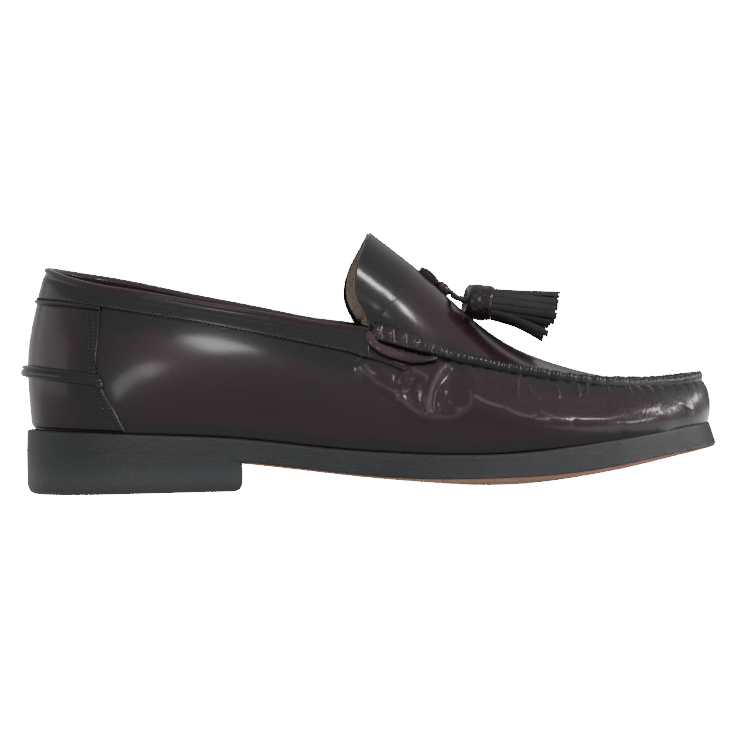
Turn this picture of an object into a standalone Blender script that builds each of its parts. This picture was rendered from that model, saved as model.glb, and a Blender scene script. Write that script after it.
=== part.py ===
"""Tassel loafer, right shoe: a moccasin-stitched upper on a leather sole, built as separate solids.

Lengths are millimetres until a mesh is made. "along" runs from the back of the sole to the toe,
"across" is negative on the outer side of the foot, and "z" is the height above the floor.
The origin is the middle of the heel's flat face on the floor, and +X points to the toe.
"""

import math

import bmesh
import bpy
import numpy as np
from mathutils import Vector

MM = 0.001

# Driving sizes
SOLE_LENGTH = 292.0
HEEL_LENGTH = 88.8
HEEL_CENTRE = 44.0
WALL = 2.2
GAP = 0.3
LEATHER = 1.1
INSOLE_CLEAR = 0.7

# Each row is a section of the shoe: where the sole's edge lies, then the curve of the wall above it,
# from its foot to its top. The top is the collar back of the throat, and the apron seam ahead of it.
# The crown is the ridge line of the apron and tongue over that section.
SECTION_COLUMNS = (
    "sole_along", "sole_outer", "sole_inner", "slant", "ledge", "belly_outer", "belly_inner", "belly_up",
    "brow_out", "brow_drop", "top_along", "top_outer", "top_inner", "top_z", "inner_rise",
    "crown_along", "crown_z",
)
SECTIONS = (
    (0.0, 0.0, 0.0, 0.5, 3.2, 2.4, 2.4, 0.50, 8.8, 0.50, 10.6, 0.0, 0.0, 93.5, 0.0, 0, 0),
    (5.5, -18.5, 18.5, 0.5, 3.0, 2.8, 2.8, 0.48, 8.2, 0.48, 15.0, -12.0, 12.0, 91.2, 1.8, 0, 0),
    (20.0, -30.0, 29.5, 0.6, 2.6, 3.4, 3.4, 0.42, 6.6, 0.42, 27.0, -21.3, 20.8, 87.4, 3.4, 0, 0),
    (45.0, -33.5, 32.0, 0.8, 2.2, 4.2, 4.2, 0.34, 5.0, 0.34, 47.0, -26.4, 25.6, 83.6, 3.4, 0, 0),
    (75.0, -33.6, 30.0, 0.8, 2.0, 4.4, 5.0, 0.30, 4.4, 0.30, 74.0, -29.2, 28.4, 78.3, 2.4, 0, 0),
    (105.0, -35.4, 28.5, 0.8, 1.9, 4.2, 5.8, 0.30, 4.6, 0.29, 102.0, -30.8, 30.0, 73.0, 1.6, 0, 0),
    (132.0, -39.4, 30.5, 0.8, 1.8, 4.0, 6.0, 0.30, 5.2, 0.27, 128.0, -31.4, 30.6, 68.0, 1.0, 0, 0),
    (149.0, -43.2, 34.2, 0.8, 1.8, 3.8, 5.4, 0.30, 6.2, 0.24, 143.0, -31.4, 30.4, 65.8, 0.8, 164.5, 92.6),
    (165.0, -47.2, 39.0, 0.8, 1.8, 3.6, 4.8, 0.30, 7.8, 0.20, 157.5, -32.6, 31.2, 61.2, 0.2, 176.0, 81.8),
    (182.0, -50.8, 43.8, 0.9, 1.8, 3.4, 4.2, 0.30, 9.4, 0.16, 173.5, -34.4, 32.6, 55.5, -0.4, 187.2, 71.2),
    (201.0, -52.8, 47.4, 1.0, 1.8, 3.2, 3.6, 0.30, 10.2, 0.14, 193.0, -35.8, 34.0, 50.4, -0.9, 201.4, 60.0),
    (221.0, -51.8, 48.6, 1.2, 1.8, 3.0, 3.2, 0.30, 9.8, 0.14, 213.5, -35.8, 34.4, 46.1, -1.1, 217.6, 51.9),
    (240.0, -47.8, 46.8, 1.5, 1.7, 2.8, 3.0, 0.30, 8.6, 0.16, 234.0, -33.4, 32.8, 42.8, -1.1, 235.6, 46.1),
    (258.0, -41.0, 42.2, 1.9, 1.5, 2.6, 2.8, 0.29, 7.4, 0.18, 252.6, -28.0, 29.0, 41.3, -0.8, 253.2, 42.4),
    (273.6, -31.0, 35.0, 2.3, 1.2, 2.2, 2.4, 0.28, 6.6, 0.20, 267.8, -20.6, 23.6, 41.1, -0.4, 268.4, 41.2),
    (286.0, -18.0, 24.0, 2.7, 0.7, 2.0, 2.1, 0.28, 6.0, 0.20, 279.6, -11.2, 15.2, 41.9, -0.1, 280.2, 41.7),
    (292.0, 3.0, 3.0, 2.9, 0.4, 1.9, 1.9, 0.28, 5.8, 0.20, 284.8, 2.4, 2.4, 42.6, 0.0, 284.8, 42.6),
)
THROAT = 7
TOE = len(SECTIONS) - 1
# Grid columns between one section and the next, closer together round the heel and the toe
STEPS = (3, 3, 3, 2, 2, 2, 2, 2, 2, 2, 2, 2, 2, 3, 3, 3)

# The sole seen from the side: top of its edge, foot of its black edge, and the tan tread's crown
SOLE_COLUMNS = ("along", "top_z", "edge_z", "tread_z")
SOLE_PROFILE = (
    (0.0, 27.3, 17.4, 16.2),
    (25.0, 26.3, 16.3, 15.1),
    (50.0, 24.8, 15.1, 13.9),
    (75.0, 23.3, 13.8, 12.6),
    (95.0, 21.4, 11.7, 10.4),
    (117.0, 18.5, 8.7, 7.4),
    (142.0, 15.8, 5.6, 4.0),
    (165.0, 14.3, 3.7, 1.5),
    (190.0, 13.7, 3.0, -0.5),
    (210.0, 14.5, 3.3, -0.2),
    (230.0, 16.5, 4.7, 2.1),
    (250.0, 19.0, 7.4, 5.3),
    (270.0, 21.6, 10.9, 9.3),
    (292.0, 23.9, 14.4, 13.3),
)

# The tongue beyond the throat: distance from its tip, and the angle of each half of its arch there
TONGUE_TIP = (147.2, 106.6)
TONGUE_COLUMNS = ("from_tip", "outer_angle", "inner_angle")
TONGUE_ROWS = (
    (16.5, 86.0, 91.0),
    (11.0, 81.0, 84.5),
    (6.8, 75.0, 74.0),
    (4.0, 67.0, 60.0),
    (2.2, 58.0, 43.0),
    (0.8, 45.0, 26.0),
    (0.0, 30.0, 12.0),
)
ARCH_STEPS = 7
WALL_ROWS = (0.0, 0.18, 0.36, 0.54, 0.70, 0.84, 1.0)

# The puckered apron seam, as a step on the outside of the wall: the side it lies on, how far, how high
SEAM_PROFILE = (
    ("wall", 2.4, 0.0), ("wall", 2.2, 1.4), ("wall", 1.0, 2.7),
    ("apron", 0.9, 2.8), ("apron", 2.0, 1.5), ("apron", 2.4, 0.0),
)

# How much wider the seam is at the throat, where its gathers are large
SEAM_SPREAD = 0.7

# Collar band, heel stay, bead and foxing
BAND_LOW = (
    (0.0, 82.0), (16.9, 80.6), (29.6, 78.6), (52.0, 74.6), (68.0, 71.6), (88.7, 67.3),
    (110.7, 62.6), (133.1, 57.4), (147.8, 52.6), (158.3, 48.1),
)
BAND_INSIDE_DROP = 8.0
BAND_TOP = 1.3
BAND_END = 6.84
STAY_FRONT = 30.0
FOXING_FRONT = 40.5
FOXING_STEPS = 9
BEAD_Z_BACK = 52.2
BEAD_Z_FRONT = 47.9
BEAD_HALF = 2.1
BEAD_OUT_BACK = 4.8
BEAD_OUT_FRONT = 1.3
STAY_OUT = 0.9
# Share of the wall's height left between the collar band and what meets it
BAND_CLEAR = 0.006

# End of the band beyond the throat, as (along, low z, high z)
BAND_TIP = (
    (141.0, 54.9, 58.7), (145.0, 53.6, 56.2), (149.0, 52.2, 54.0), (153.0, 50.5, 52.0), (157.0, 48.7, 50.4),
)

# Rolled ear at each side of the throat, as (along, z) points on the wall
EAR_ROUTE = (
    (143.9, 65.2), (143.2, 63.6), (143.9, 61.2), (146.2, 58.9), (149.2, 57.2), (152.8, 55.6),
    (156.7, 54.3), (160.6, 53.4), (164.6, 52.9), (168.0, 53.0), (170.8, 53.4),
)
EAR_HALF_WIDTH = 2.1
EAR_HEIGHT = 2.6
EAR_LIFT = 0.4

# Tassels and thong
CAP_LENGTH = 10.0
CAP_RADIUS = 7.3
CAP_BORE = 6.0
HEAD_RADIUS = 5.6
FRINGE_LENGTH = 27.6
THONG_RADIUS = 0.8
THONG_IN_CAP = 8.0
TASSEL_BACK = {"outer": (187.0, -11.6, 77.3), "inner": (187.4, 11.6, 77.1)}
TASSEL_PITCH = {"outer": -8.0, "inner": -12.0}
TASSEL_SPLAY = {"outer": -7.0, "inner": 7.0}
STRIPS = 12
INNER_STRIPS = 6

BURGUNDY = (0.043, 0.008, 0.012)
BLACK_LEATHER = (0.012, 0.011, 0.011)
SOLE_BLACK = (0.022, 0.023, 0.024)
TAN = (0.42, 0.20, 0.11)
LINING_TAN = (0.30, 0.22, 0.16)


def cubic_spline(knots, values, closed):
    """A smooth curve through the values at the knots, natural at its ends or closed on itself."""
    knots = np.asarray(knots, float)
    values = np.asarray(values, float)
    count = len(knots) - 1
    step = np.diff(knots)
    slope = np.diff(values, axis=0) / step[:, None]
    size = count if closed else count + 1
    system = np.zeros((size, size))
    right = np.zeros((size, values.shape[1]))
    for k in range(size):
        if not closed and k in (0, count):
            system[k, k] = 1.0
            continue
        before = step[k - 1]
        after = step[k % count]
        system[k, (k - 1) % size] += before
        system[k, k] += 2 * (before + after)
        system[k, (k + 1) % size] += after
        right[k] = 6 * (slope[k % count] - slope[k - 1])
    bend = np.linalg.solve(system, right)
    if closed:
        bend = np.vstack([bend, bend[:1]])

    def at(u):
        if closed:
            u = knots[0] + (u - knots[0]) % (knots[-1] - knots[0])
        k = int(np.clip(np.searchsorted(knots, u, side="right") - 1, 0, count - 1))
        h = step[k]
        a = (knots[k + 1] - u) / h
        b = (u - knots[k]) / h
        return (
            a * values[k] + b * values[k + 1]
            + ((a**3 - a) * bend[k] + (b**3 - b) * bend[k + 1]) * h * h / 6
        )

    return at


def column(name):
    return np.array([row[SECTION_COLUMNS.index(name)] for row in SECTIONS], float)


def side_rows(side):
    """Sole edge, slant, wall shape and wall top of every section on one side."""
    inner = side == "inner"
    rise = column("inner_rise") if inner else 0 * column("inner_rise")
    return np.column_stack([
        column("sole_along"), column("sole_" + side), column("slant"), column("ledge"),
        column("belly_" + side), column("belly_up"), column("brow_out"), column("brow_drop"),
        column("top_along"), column("top_" + side), column("top_z") + rise,
    ])


OUTER_ROWS = side_rows("outer")
INNER_ROWS = side_rows("inner")
# Once round the shoe: the heel's back, the outer side, the toe, and the inner side back to the heel
RING_ROWS = np.vstack([OUTER_ROWS, INNER_ROWS[-2:0:-1], OUTER_ROWS[:1]])
RING_KNOTS = np.concatenate([[0.0], np.cumsum(np.linalg.norm(np.diff(RING_ROWS[:, :2], axis=0), axis=1))])
ring = cubic_spline(RING_KNOTS, RING_ROWS, closed=True)
CROWN_KNOTS = RING_KNOTS[THROAT: TOE + 1]
crown_spline = cubic_spline(
    CROWN_KNOTS, np.column_stack([column("crown_along"), column("crown_z")])[THROAT:], closed=False
)
SOLE_TABLE = np.array(SOLE_PROFILE)
sole_spline = cubic_spline(SOLE_TABLE[:, 0], SOLE_TABLE[:, 1:], closed=False)


def sole_z(along, name):
    return sole_spline(along)[SOLE_COLUMNS.index(name) - 1]


def ring_place(station, side):
    """Distance round the ring of a section, where 2.5 is half way between sections 2 and 3."""
    k = min(int(station), TOE - 1)
    share = station - k
    if side == "outer":
        return RING_KNOTS[k] + share * (RING_KNOTS[k + 1] - RING_KNOTS[k])
    last = len(RING_KNOTS) - 1
    return RING_KNOTS[last - k] + share * (RING_KNOTS[last - k - 1] - RING_KNOTS[last - k])


def outward(place):
    """Direction that points away from the shoe, level with the floor."""
    tiny = 0.05
    ahead = ring(place + tiny)[:2] - ring(place - tiny)[:2]
    turned = np.array([ahead[1], -ahead[0], 0.0])
    return turned / np.linalg.norm(turned)


def wall_at(place, t):
    """Point of the upper's outside: t is 0 at the foot of the wall and 1 at its top."""
    along, across, slant, ledge, belly, belly_up, brow_out, brow_drop, *top = ring(place)
    out = outward(place)
    foot = np.array([along, across, 0.0]) - out * (slant + ledge)
    foot[2] = sole_z(foot[0], "top_z") + GAP
    top = np.array(top)
    height = top[2] - foot[2]
    low = foot + out * belly + np.array([0, 0, belly_up * height])
    high = top + out * brow_out - np.array([0, 0, brow_drop * height])
    s = 1 - t
    return s**3 * foot + 3 * s * s * t * low + 3 * s * t * t * high + t**3 * top


def wall_normal(place, t):
    tiny = 0.02
    round_it = wall_at(place + tiny, t) - wall_at(place - tiny, t)
    up_it = wall_at(place, min(t + 0.01, 1.0)) - wall_at(place, max(t - 0.01, 0.0))
    normal = np.cross(round_it, up_it)
    if normal @ outward(place) < 0:
        normal = -normal
    return normal / np.linalg.norm(normal)


def station_at(along):
    return float(np.interp(along, column("sole_along"), np.arange(TOE + 1)))


def find_on_wall(along, z, side):
    """Where the wall passes a point seen from the side, as (place, t)."""
    place = ring_place(station_at(along), side)
    t = 0.5
    for _ in range(40):
        here = wall_at(place, t)
        by_place = (wall_at(place + 0.05, t) - here) / 0.05
        by_t = (wall_at(place, t + 0.001) - here) / 0.001
        system = np.array([[by_place[0], by_t[0]], [by_place[2], by_t[2]]])
        change = np.linalg.solve(system, [along - here[0], z - here[2]])
        place += float(np.clip(change[0], -8, 8))
        t = float(np.clip(t + np.clip(change[1], -0.2, 0.2), 0.0, 0.999))
    return place, t


def stations(first=0, last=TOE):
    """Sections and the grid columns between them."""
    found = [float(first)]
    for k in range(first, last):
        found += [k + (n + 1) / STEPS[k] for n in range(STEPS[k])]
    return found


def half_arch(crown, edge, share):
    """Point on the arch that falls from the crown line to one edge, as a circle would."""
    fall = np.array([edge[0] - crown[0], 0.0, edge[2] - crown[2]])
    width = abs(edge[1] - crown[1])
    angle = max(2 * math.atan2(float(np.hypot(fall[0], fall[2])), width), 0.05)
    point = crown + fall * (1 - math.cos(share * angle)) / (1 - math.cos(angle))
    point[1] = crown[1] + (edge[1] - crown[1]) * math.sin(share * angle) / math.sin(angle)
    return point


def arch(crown, outer_edge, inner_edge, w):
    """Point across the apron: w is -1 at the outer edge, 0 on the crown and 1 at the inner edge."""
    return half_arch(crown, outer_edge if w < 0 else inner_edge, abs(w))


def seam_edges(station):
    return wall_at(ring_place(station, "outer"), 1.0), wall_at(ring_place(station, "inner"), 1.0)


def apron_at(station, w):
    outer_edge, inner_edge = seam_edges(station)
    along, z = crown_spline(ring_place(station, "outer"))
    crown = np.array([along, (outer_edge[1] + inner_edge[1]) / 2, z])
    return arch(crown, outer_edge, inner_edge, w)


def tongue_at(from_tip, outer_angle, inner_angle, w):
    """Point of the tongue: its arch keeps the throat's radius, and its angles shrink to the tip."""
    outer_edge, inner_edge = seam_edges(THROAT)
    throat_crown = apron_at(THROAT, 0.0)
    tip = np.array([TONGUE_TIP[0], throat_crown[1], TONGUE_TIP[1]])
    down = (throat_crown - tip) / np.linalg.norm(throat_crown - tip)
    crown = tip + down * from_tip
    edge = outer_edge if w < 0 else inner_edge
    fall = np.array([edge[0] - throat_crown[0], 0.0, edge[2] - throat_crown[2]])
    drop = float(np.linalg.norm(fall))
    width = abs(edge[1] - throat_crown[1])
    radius = (width**2 + drop**2) / (2 * drop)
    turn = abs(w) * math.radians(outer_angle if w < 0 else inner_angle)
    point = crown + fall / drop * radius * (1 - math.cos(turn))
    point[1] = crown[1] + math.copysign(radius * math.sin(turn), w)
    return point


class Shape:
    """Collects faces by their corner points, and welds corners that fall together."""

    def __init__(self):
        self.points = []
        self.ids = {}
        self.faces = []

    def corner(self, point):
        key = tuple(round(float(c), 4) for c in point)
        if key not in self.ids:
            self.ids[key] = len(self.points)
            self.points.append(np.array(point, float))
        return self.ids[key]

    def face(self, *points):
        ids = []
        for point in points:
            found = self.corner(point)
            if found not in ids:
                ids.append(found)
        if len(ids) > 2:
            self.faces.append(ids)

    def grid(self, rows, flip=False, closed=False):
        """Faces between neighbouring rows of points. A closed grid joins each row's ends."""
        for a, b in zip(rows, rows[1:]):
            count = len(a)
            for i in range(count if closed else count - 1):
                k = (i + 1) % count
                quad = (a[i], a[k], b[k], b[i])
                self.face(*(reversed(quad) if flip else quad))

    def normals(self):
        """Normal at each corner, from the faces round it."""
        total = np.zeros((len(self.points), 3))
        for ids in self.faces:
            corners = [self.points[i] for i in ids]
            normal = np.zeros(3)
            for a, b in zip(corners[1:], corners[2:]):
                normal += np.cross(a - corners[0], b - corners[0])
            for i in ids:
                total[i] += normal
        return total / np.linalg.norm(total, axis=1)[:, None]

    def make(self, name, material):
        mesh = bpy.data.meshes.new(name)
        points = [((p[0] - HEEL_CENTRE) * MM, p[1] * MM, p[2] * MM) for p in self.points]
        mesh.from_pydata(points, [], self.faces)
        build = bmesh.new()
        build.from_mesh(mesh)
        bmesh.ops.recalc_face_normals(build, faces=build.faces)
        build.to_mesh(mesh)
        build.free()
        mesh.materials.append(material)
        mesh.shade_smooth()
        mesh.set_sharp_from_angle(angle=math.radians(35))
        made = bpy.data.objects.new(name, mesh)
        bpy.context.scene.collection.objects.link(made)
        return made


def slab(shape, near, far):
    """A sheet's two faces and its four edges, from two grids of the same size."""
    shape.grid(near, flip=True)
    shape.grid(far)
    shape.grid([near[0], far[0]])
    shape.grid([near[-1], far[-1]], flip=True)
    shape.grid([[row[0] for row in near], [row[0] for row in far]], flip=True)
    shape.grid([[row[-1] for row in near], [row[-1] for row in far]])


def tube(shape, loops):
    """A closed solid through loops of points, with a face over each end."""
    shape.grid(loops, closed=True)
    shape.face(*reversed(loops[0]))
    shape.face(*loops[-1])


def material(name, colour, roughness):
    made = bpy.data.materials.new(name)
    made.use_nodes = True
    shader = made.node_tree.nodes["Principled BSDF"]
    shader.inputs["Base Color"].default_value = (*colour, 1.0)
    shader.inputs["Roughness"].default_value = roughness
    shader.inputs["Metallic"].default_value = 0.0
    return made


def wall_columns(first, last, side):
    return [ring_place(s, side) for s in stations(first, last)]


def seam_frame(station, side):
    """Directions at the apron seam: down the wall, over the apron, and out from both."""
    place = ring_place(station, side)
    sign = -1 if side == "outer" else 1
    here = wall_at(place, 1.0)
    wall_way = wall_at(place, 0.93) - here
    if station < TOE:
        apron_way = apron_at(station, sign * 0.9) - here
    else:
        apron_way = np.array([-1.0, 0.0, 0.0])
    ahead = wall_at(place + 0.5, 1.0) - wall_at(place - 0.5, 1.0)
    ahead /= np.linalg.norm(ahead)
    wall_way = wall_way - ahead * (wall_way @ ahead)
    apron_way = apron_way - ahead * (apron_way @ ahead)
    wall_way /= np.linalg.norm(wall_way)
    apron_way /= np.linalg.norm(apron_way)
    lift = np.cross(ahead, wall_way) - np.cross(ahead, apron_way)
    if lift @ (wall_normal(place, 0.95) + np.array([0, 0, 0.5])) < 0:
        lift = -lift
    return here, wall_way, apron_way, lift / np.linalg.norm(lift)


def seam_rows(station, side):
    """The seam's step at one section, from the wall over its ridge to the apron."""
    here, wall_way, apron_way, lift = seam_frame(station, side)
    size = min(1.0, (station - THROAT) * STEPS[THROAT])
    wide = 1 + SEAM_SPREAD * max(0.0, 1 - (station - THROAT) / 2)
    return [
        here + size * (wide * reach * (wall_way if part == "wall" else apron_way) + height * lift)
        for part, reach, height in SEAM_PROFILE
    ]


def make_upper(leather):
    """The hollow upper: wall, raised apron seam, apron and tongue, with the lining's thickness inside."""
    arch_shares = [n / ARCH_STEPS for n in range(-ARCH_STEPS, ARCH_STEPS + 1)]
    quarter = stations(0, THROAT)
    forepart = stations(THROAT, TOE)
    outer_places = [ring_place(s, "outer") for s in quarter + forepart[1:]]
    inner_places = [ring_place(s, "inner") for s in (quarter + forepart[1:])[-2:0:-1]]
    loop = outer_places + inner_places
    walls = [[wall_at(place, t) for place in loop] for t in WALL_ROWS]

    apron = [[apron_at(s, w) for w in arch_shares] for s in forepart[:-1]]
    toe_tip = wall_at(ring_place(TOE, "outer"), 1.0)
    apron.append([toe_tip] * len(arch_shares))
    tongue = [apron[0]] + [[tongue_at(*row, w) for w in arch_shares] for row in TONGUE_ROWS]

    base = Shape()
    base.grid(walls, closed=True)
    base.grid(apron, flip=True)
    base.grid(tongue)
    normals = base.normals()

    def inside(point):
        return np.array(point) - WALL * normals[base.corner(point)]

    shape = Shape()
    seam = {side: [seam_rows(s, side) for s in forepart] for side in ("outer", "inner")}
    count = len(loop)
    quarter_last = len(quarter) - 1

    def wall_top(i, row):
        """The wall's own top, or where the seam's step begins, at column i of the loop."""
        ahead = i - quarter_last
        if 0 <= ahead < len(forepart):
            return seam["outer"][ahead][row]
        behind = count - i - quarter_last
        if 0 <= behind < len(forepart):
            return seam["inner"][behind][row]
        return walls[-1][i % count]

    shape.grid(walls[:-1], closed=True)
    shape.grid([walls[-2], [wall_top(i, 0) for i in range(count)]], closed=True)
    for side, flip in (("outer", False), ("inner", True)):
        rows = [[step[r] for step in seam[side]] for r in range(len(SEAM_PROFILE))]
        shape.grid(rows, flip=flip)
    inset = [list(row) for row in apron]
    for k in range(len(forepart) - 1):
        inset[k][0] = seam["outer"][k][-1]
        inset[k][-1] = seam["inner"][k][-1]
    inset[-1] = [seam["outer"][-1][-1]] * len(arch_shares)
    shape.grid(inset, flip=True)
    shape.grid(tongue)

    lining = lambda rows: [[inside(p) for p in row] for row in rows]
    shape.grid(lining(walls), closed=True, flip=True)
    shape.grid(lining(apron))
    shape.grid(lining(tongue), flip=True)
    shape.grid([lining(walls[:1])[0], walls[0]], closed=True)
    rim = [walls[-1][i] for i in range(quarter_last, -1, -1)]
    rim += [walls[-1][i] for i in range(count - 1, count - quarter_last - 1, -1)]
    rim += [row[-1] for row in tongue[1:]]
    rim += list(reversed(tongue[-1][1:-1]))
    rim += [row[0] for row in reversed(tongue[1:])]
    shape.grid([rim, [inside(p) for p in rim]], closed=True)
    return shape.make("upper", leather)


def wall_t_at_z(place, z):
    low, high = 0.0, 1.0
    for _ in range(30):
        middle = (low + high) / 2
        if wall_at(place, middle)[2] < z:
            low = middle
        else:
            high = middle
    return (low + high) / 2


def fall_from_top(place, drop):
    """The wall's t at a distance below its top, measured down the wall."""
    low, high = 0.0, 1.0
    top = wall_at(place, 1.0)
    for _ in range(30):
        middle = (low + high) / 2
        if np.linalg.norm(wall_at(place, middle) - top) > drop:
            low = middle
        else:
            high = middle
    return (low + high) / 2


def band_t(place):
    """The wall's t at the lower edge of the collar band."""
    t = 0.85
    for _ in range(6):
        along = wall_at(place, t)[0]
        t = wall_t_at_z(place, float(np.interp(along, *zip(*BAND_LOW))))
    return t


def collar_places():
    """Columns of the collar, from the outer throat round the heel to the inner throat."""
    one_side = [s for s in stations(0, THROAT) if s < BAND_END - 0.05] + [BAND_END]
    outer = [ring_place(s, "outer") for s in reversed(one_side)]
    inner = [ring_place(s, "inner") for s in one_side[1:]]
    return outer + inner


def make_collar_band(leather):
    """Binding folded over the collar's edge, longer outside than inside."""
    loops = []
    for place in collar_places():
        low = band_t(place)
        outside = [(wall_at(place, t), wall_normal(place, t))
                   for t in (low, (low + 1) / 2, fall_from_top(place, 0.4))]
        hidden = [(wall_at(place, fall_from_top(place, d)), wall_normal(place, fall_from_top(place, d)))
                  for d in (0.4, BAND_INSIDE_DROP)]
        top, out = wall_at(place, 1.0), wall_normal(place, 0.98)
        up = np.array([0, 0, 1.0])
        loop = [p + n * (GAP + LEATHER) for p, n in outside]
        loop += [top + out * 0.6 + up * (GAP + BAND_TOP * 0.8), top - out * WALL / 2 + up * (GAP + BAND_TOP),
                 top - out * (WALL + 0.6) + up * (GAP + BAND_TOP * 0.8)]
        loop += [p - n * (WALL + GAP + LEATHER) for p, n in hidden]
        loop += [p - n * (WALL + GAP) for p, n in reversed(hidden)]
        loop += [top - out * (WALL + GAP) + up * GAP, top + out * GAP + up * GAP]
        loop += [p + n * GAP for p, n in reversed(outside[:2])]
        loops.append(loop)
    shape = Shape()
    tube(shape, loops)
    return shape.make("collar_band", leather)


def make_band_tip(side, leather):
    """Flat end of the collar band, which runs on below the throat corner under the vamp's turned edge."""
    grids = [], []
    for share in (0.0, 0.5, 1.0):
        for grid, distance in zip(grids, (GAP, GAP + LEATHER)):
            row = []
            for along, low, high in BAND_TIP:
                place, t = find_on_wall(along, low + (high - low) * share, side)
                row.append(wall_at(place, t) + wall_normal(place, t) * distance)
            grid.append(row)
    shape = Shape()
    slab(shape, *grids)
    return shape.make("collar_band_tip_" + side, leather)


def heel_round(front_along, z_at):
    """Columns round the heel back to where each side reaches front_along, as (place, side) pairs."""
    columns = []
    for side in ("outer", "inner"):
        end, _ = find_on_wall(front_along, z_at(front_along), side)
        limit = ring_place(0, side)
        places = [p for p in wall_columns(0, 4, side) if abs(p - limit) < abs(end - limit) - 1.0]
        columns.append(places + [end])
    return list(reversed(columns[0])) + columns[1][1:]


def bead_z(along):
    """Height of the heel's bead, which dips towards its front ends."""
    return float(np.interp(along, (0.0, STAY_FRONT), (BEAD_Z_BACK, BEAD_Z_FRONT)))


def overlay_rows(places, low_of, high_of, rows, near, far):
    """Two grids that follow the wall between two edges, at two distances from it."""
    grids = [], []
    for k in range(rows + 1):
        share = k / rows
        for grid, distance in zip(grids, (near, far)):
            row = []
            for place in places:
                t = low_of(place) + share * (high_of(place) - low_of(place))
                row.append(wall_at(place, t) + wall_normal(place, t) * distance)
            grid.append(row)
    return grids


def bead_t(place, lift):
    return wall_t_at_z(place, bead_z(wall_at(place, 0.4)[0]) + lift)


def make_heel_stay(leather):
    """Upper heel patch, between the bead and the collar band."""
    places = heel_round(STAY_FRONT, lambda along: 65.0)
    near, far = overlay_rows(
        places, lambda p: bead_t(p, BEAD_HALF + GAP), lambda p: band_t(p) - BAND_CLEAR,
        4, GAP, GAP + STAY_OUT,
    )
    shape = Shape()
    slab(shape, near, far)
    return shape.make("heel_stay", leather)


def make_heel_foxing(leather):
    """Lower heel patch, whose front edge slants forward from the bead to the sole."""
    rows = 4
    half = {}
    for side in ("outer", "inner"):
        limit = ring_place(0, side)
        half[side] = [[], []]
        for k in range(rows + 1):
            share = k / rows
            along = FOXING_FRONT + (STAY_FRONT - FOXING_FRONT) * share
            z = sole_z(along, "top_z") + 1.0 + (bead_z(STAY_FRONT) - sole_z(along, "top_z") - 1.0) * share
            end, _ = find_on_wall(along, z, side)
            near, far = [], []
            for n in range(FOXING_STEPS + 1):
                place = limit + (end - limit) * n / FOXING_STEPS
                low, high = 0.008, bead_t(place, -BEAD_HALF - GAP)
                t = low + share * (high - low)
                near.append(wall_at(place, t) + wall_normal(place, t) * GAP)
                far.append(wall_at(place, t) + wall_normal(place, t) * (GAP + STAY_OUT))
            half[side][0].append(near)
            half[side][1].append(far)
    near, far = (
        [list(reversed(a))[:-1] + b for a, b in zip(half["outer"][g], half["inner"][g])] for g in (0, 1)
    )
    shape = Shape()
    slab(shape, near, far)
    return shape.make("heel_foxing", leather)


def make_heel_bead(leather):
    """Turned seam round the heel, which stands out most at the back."""
    loops = []
    for place in heel_round(STAY_FRONT, bead_z):
        t = bead_t(place, 0.0)
        here, normal = wall_at(place, t), wall_normal(place, t)
        forward = min(max(here[0] / STAY_FRONT, 0.0), 1.0)
        reach = BEAD_OUT_BACK + (BEAD_OUT_FRONT - BEAD_OUT_BACK) * math.sqrt(forward)
        up = np.array([0, 0, BEAD_HALF])
        base = here + normal * GAP
        loops.append([
            base - up, base - up + normal * reach * 0.7, here + normal * (GAP + reach) - up * 0.55,
            here + normal * (GAP + reach) + up * 0.45, base + up + normal * reach * 0.75, base + up,
        ])
    shape = Shape()
    tube(shape, loops)
    return shape.make("heel_bead", leather)


def make_ear(side, leather):
    """Turned end of the vamp's edge: a soft roll that curls round below the throat corner."""
    found = []
    for along, z in EAR_ROUTE:
        place, t = find_on_wall(along, z, side)
        found.append((wall_at(place, t), wall_normal(place, t)))
    loops = []
    for k, (here, normal) in enumerate(found):
        ahead = found[min(k + 1, len(found) - 1)][0] - found[max(k - 1, 0)][0]
        across = np.cross(ahead, normal)
        across /= np.linalg.norm(across)
        end = 0.5 if k in (0, len(found) - 1) else 1.0
        loop = []
        for n in range(8):
            turn = math.radians(45 * n)
            lift = EAR_LIFT + EAR_HEIGHT * end * (0.5 - 0.5 * math.cos(turn))
            loop.append(here + across * EAR_HALF_WIDTH * end * math.sin(turn) + normal * lift)
        loops.append(loop)
    shape = Shape()
    tube(shape, loops)
    return shape.make("vamp_ear_" + side, leather)


def sole_outline(inset, first=0.0, last=float(TOE), upto=0):
    """Pairs of outer and inner points from back to toe: of the sole's foot, its top edge or the wall."""
    pairs = []
    for s in [first] + [s for s in stations() if first < s <= last]:
        pair = []
        for side in ("outer", "inner"):
            place = ring_place(s, side)
            row = ring(place)
            distance = inset + sum(row[2: 2 + upto])
            point = np.array([row[0], row[1], 0.0]) - outward(place) * distance
            pair.append(point)
        pairs.append(pair)
    return pairs


def across_row(pair, steps):
    """Points from the outer edge to the inner edge of one pair."""
    outer, inner = pair
    return [outer + (inner - outer) * n / steps for n in range(steps + 1)]


def at_height(point, z):
    return np.array([point[0], point[1], z])


def plate(shape, bottom, top):
    """A closed plate from a bottom and a top grid whose end rows may close to a point."""
    shape.grid(bottom)
    shape.grid(top, flip=True)
    shape.grid([[row[0] for row in bottom], [row[0] for row in top]])
    shape.grid([[row[-1] for row in bottom], [row[-1] for row in top]], flip=True)
    shape.grid([bottom[0], top[0]], flip=True)
    shape.grid([bottom[-1], top[-1]])


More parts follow.
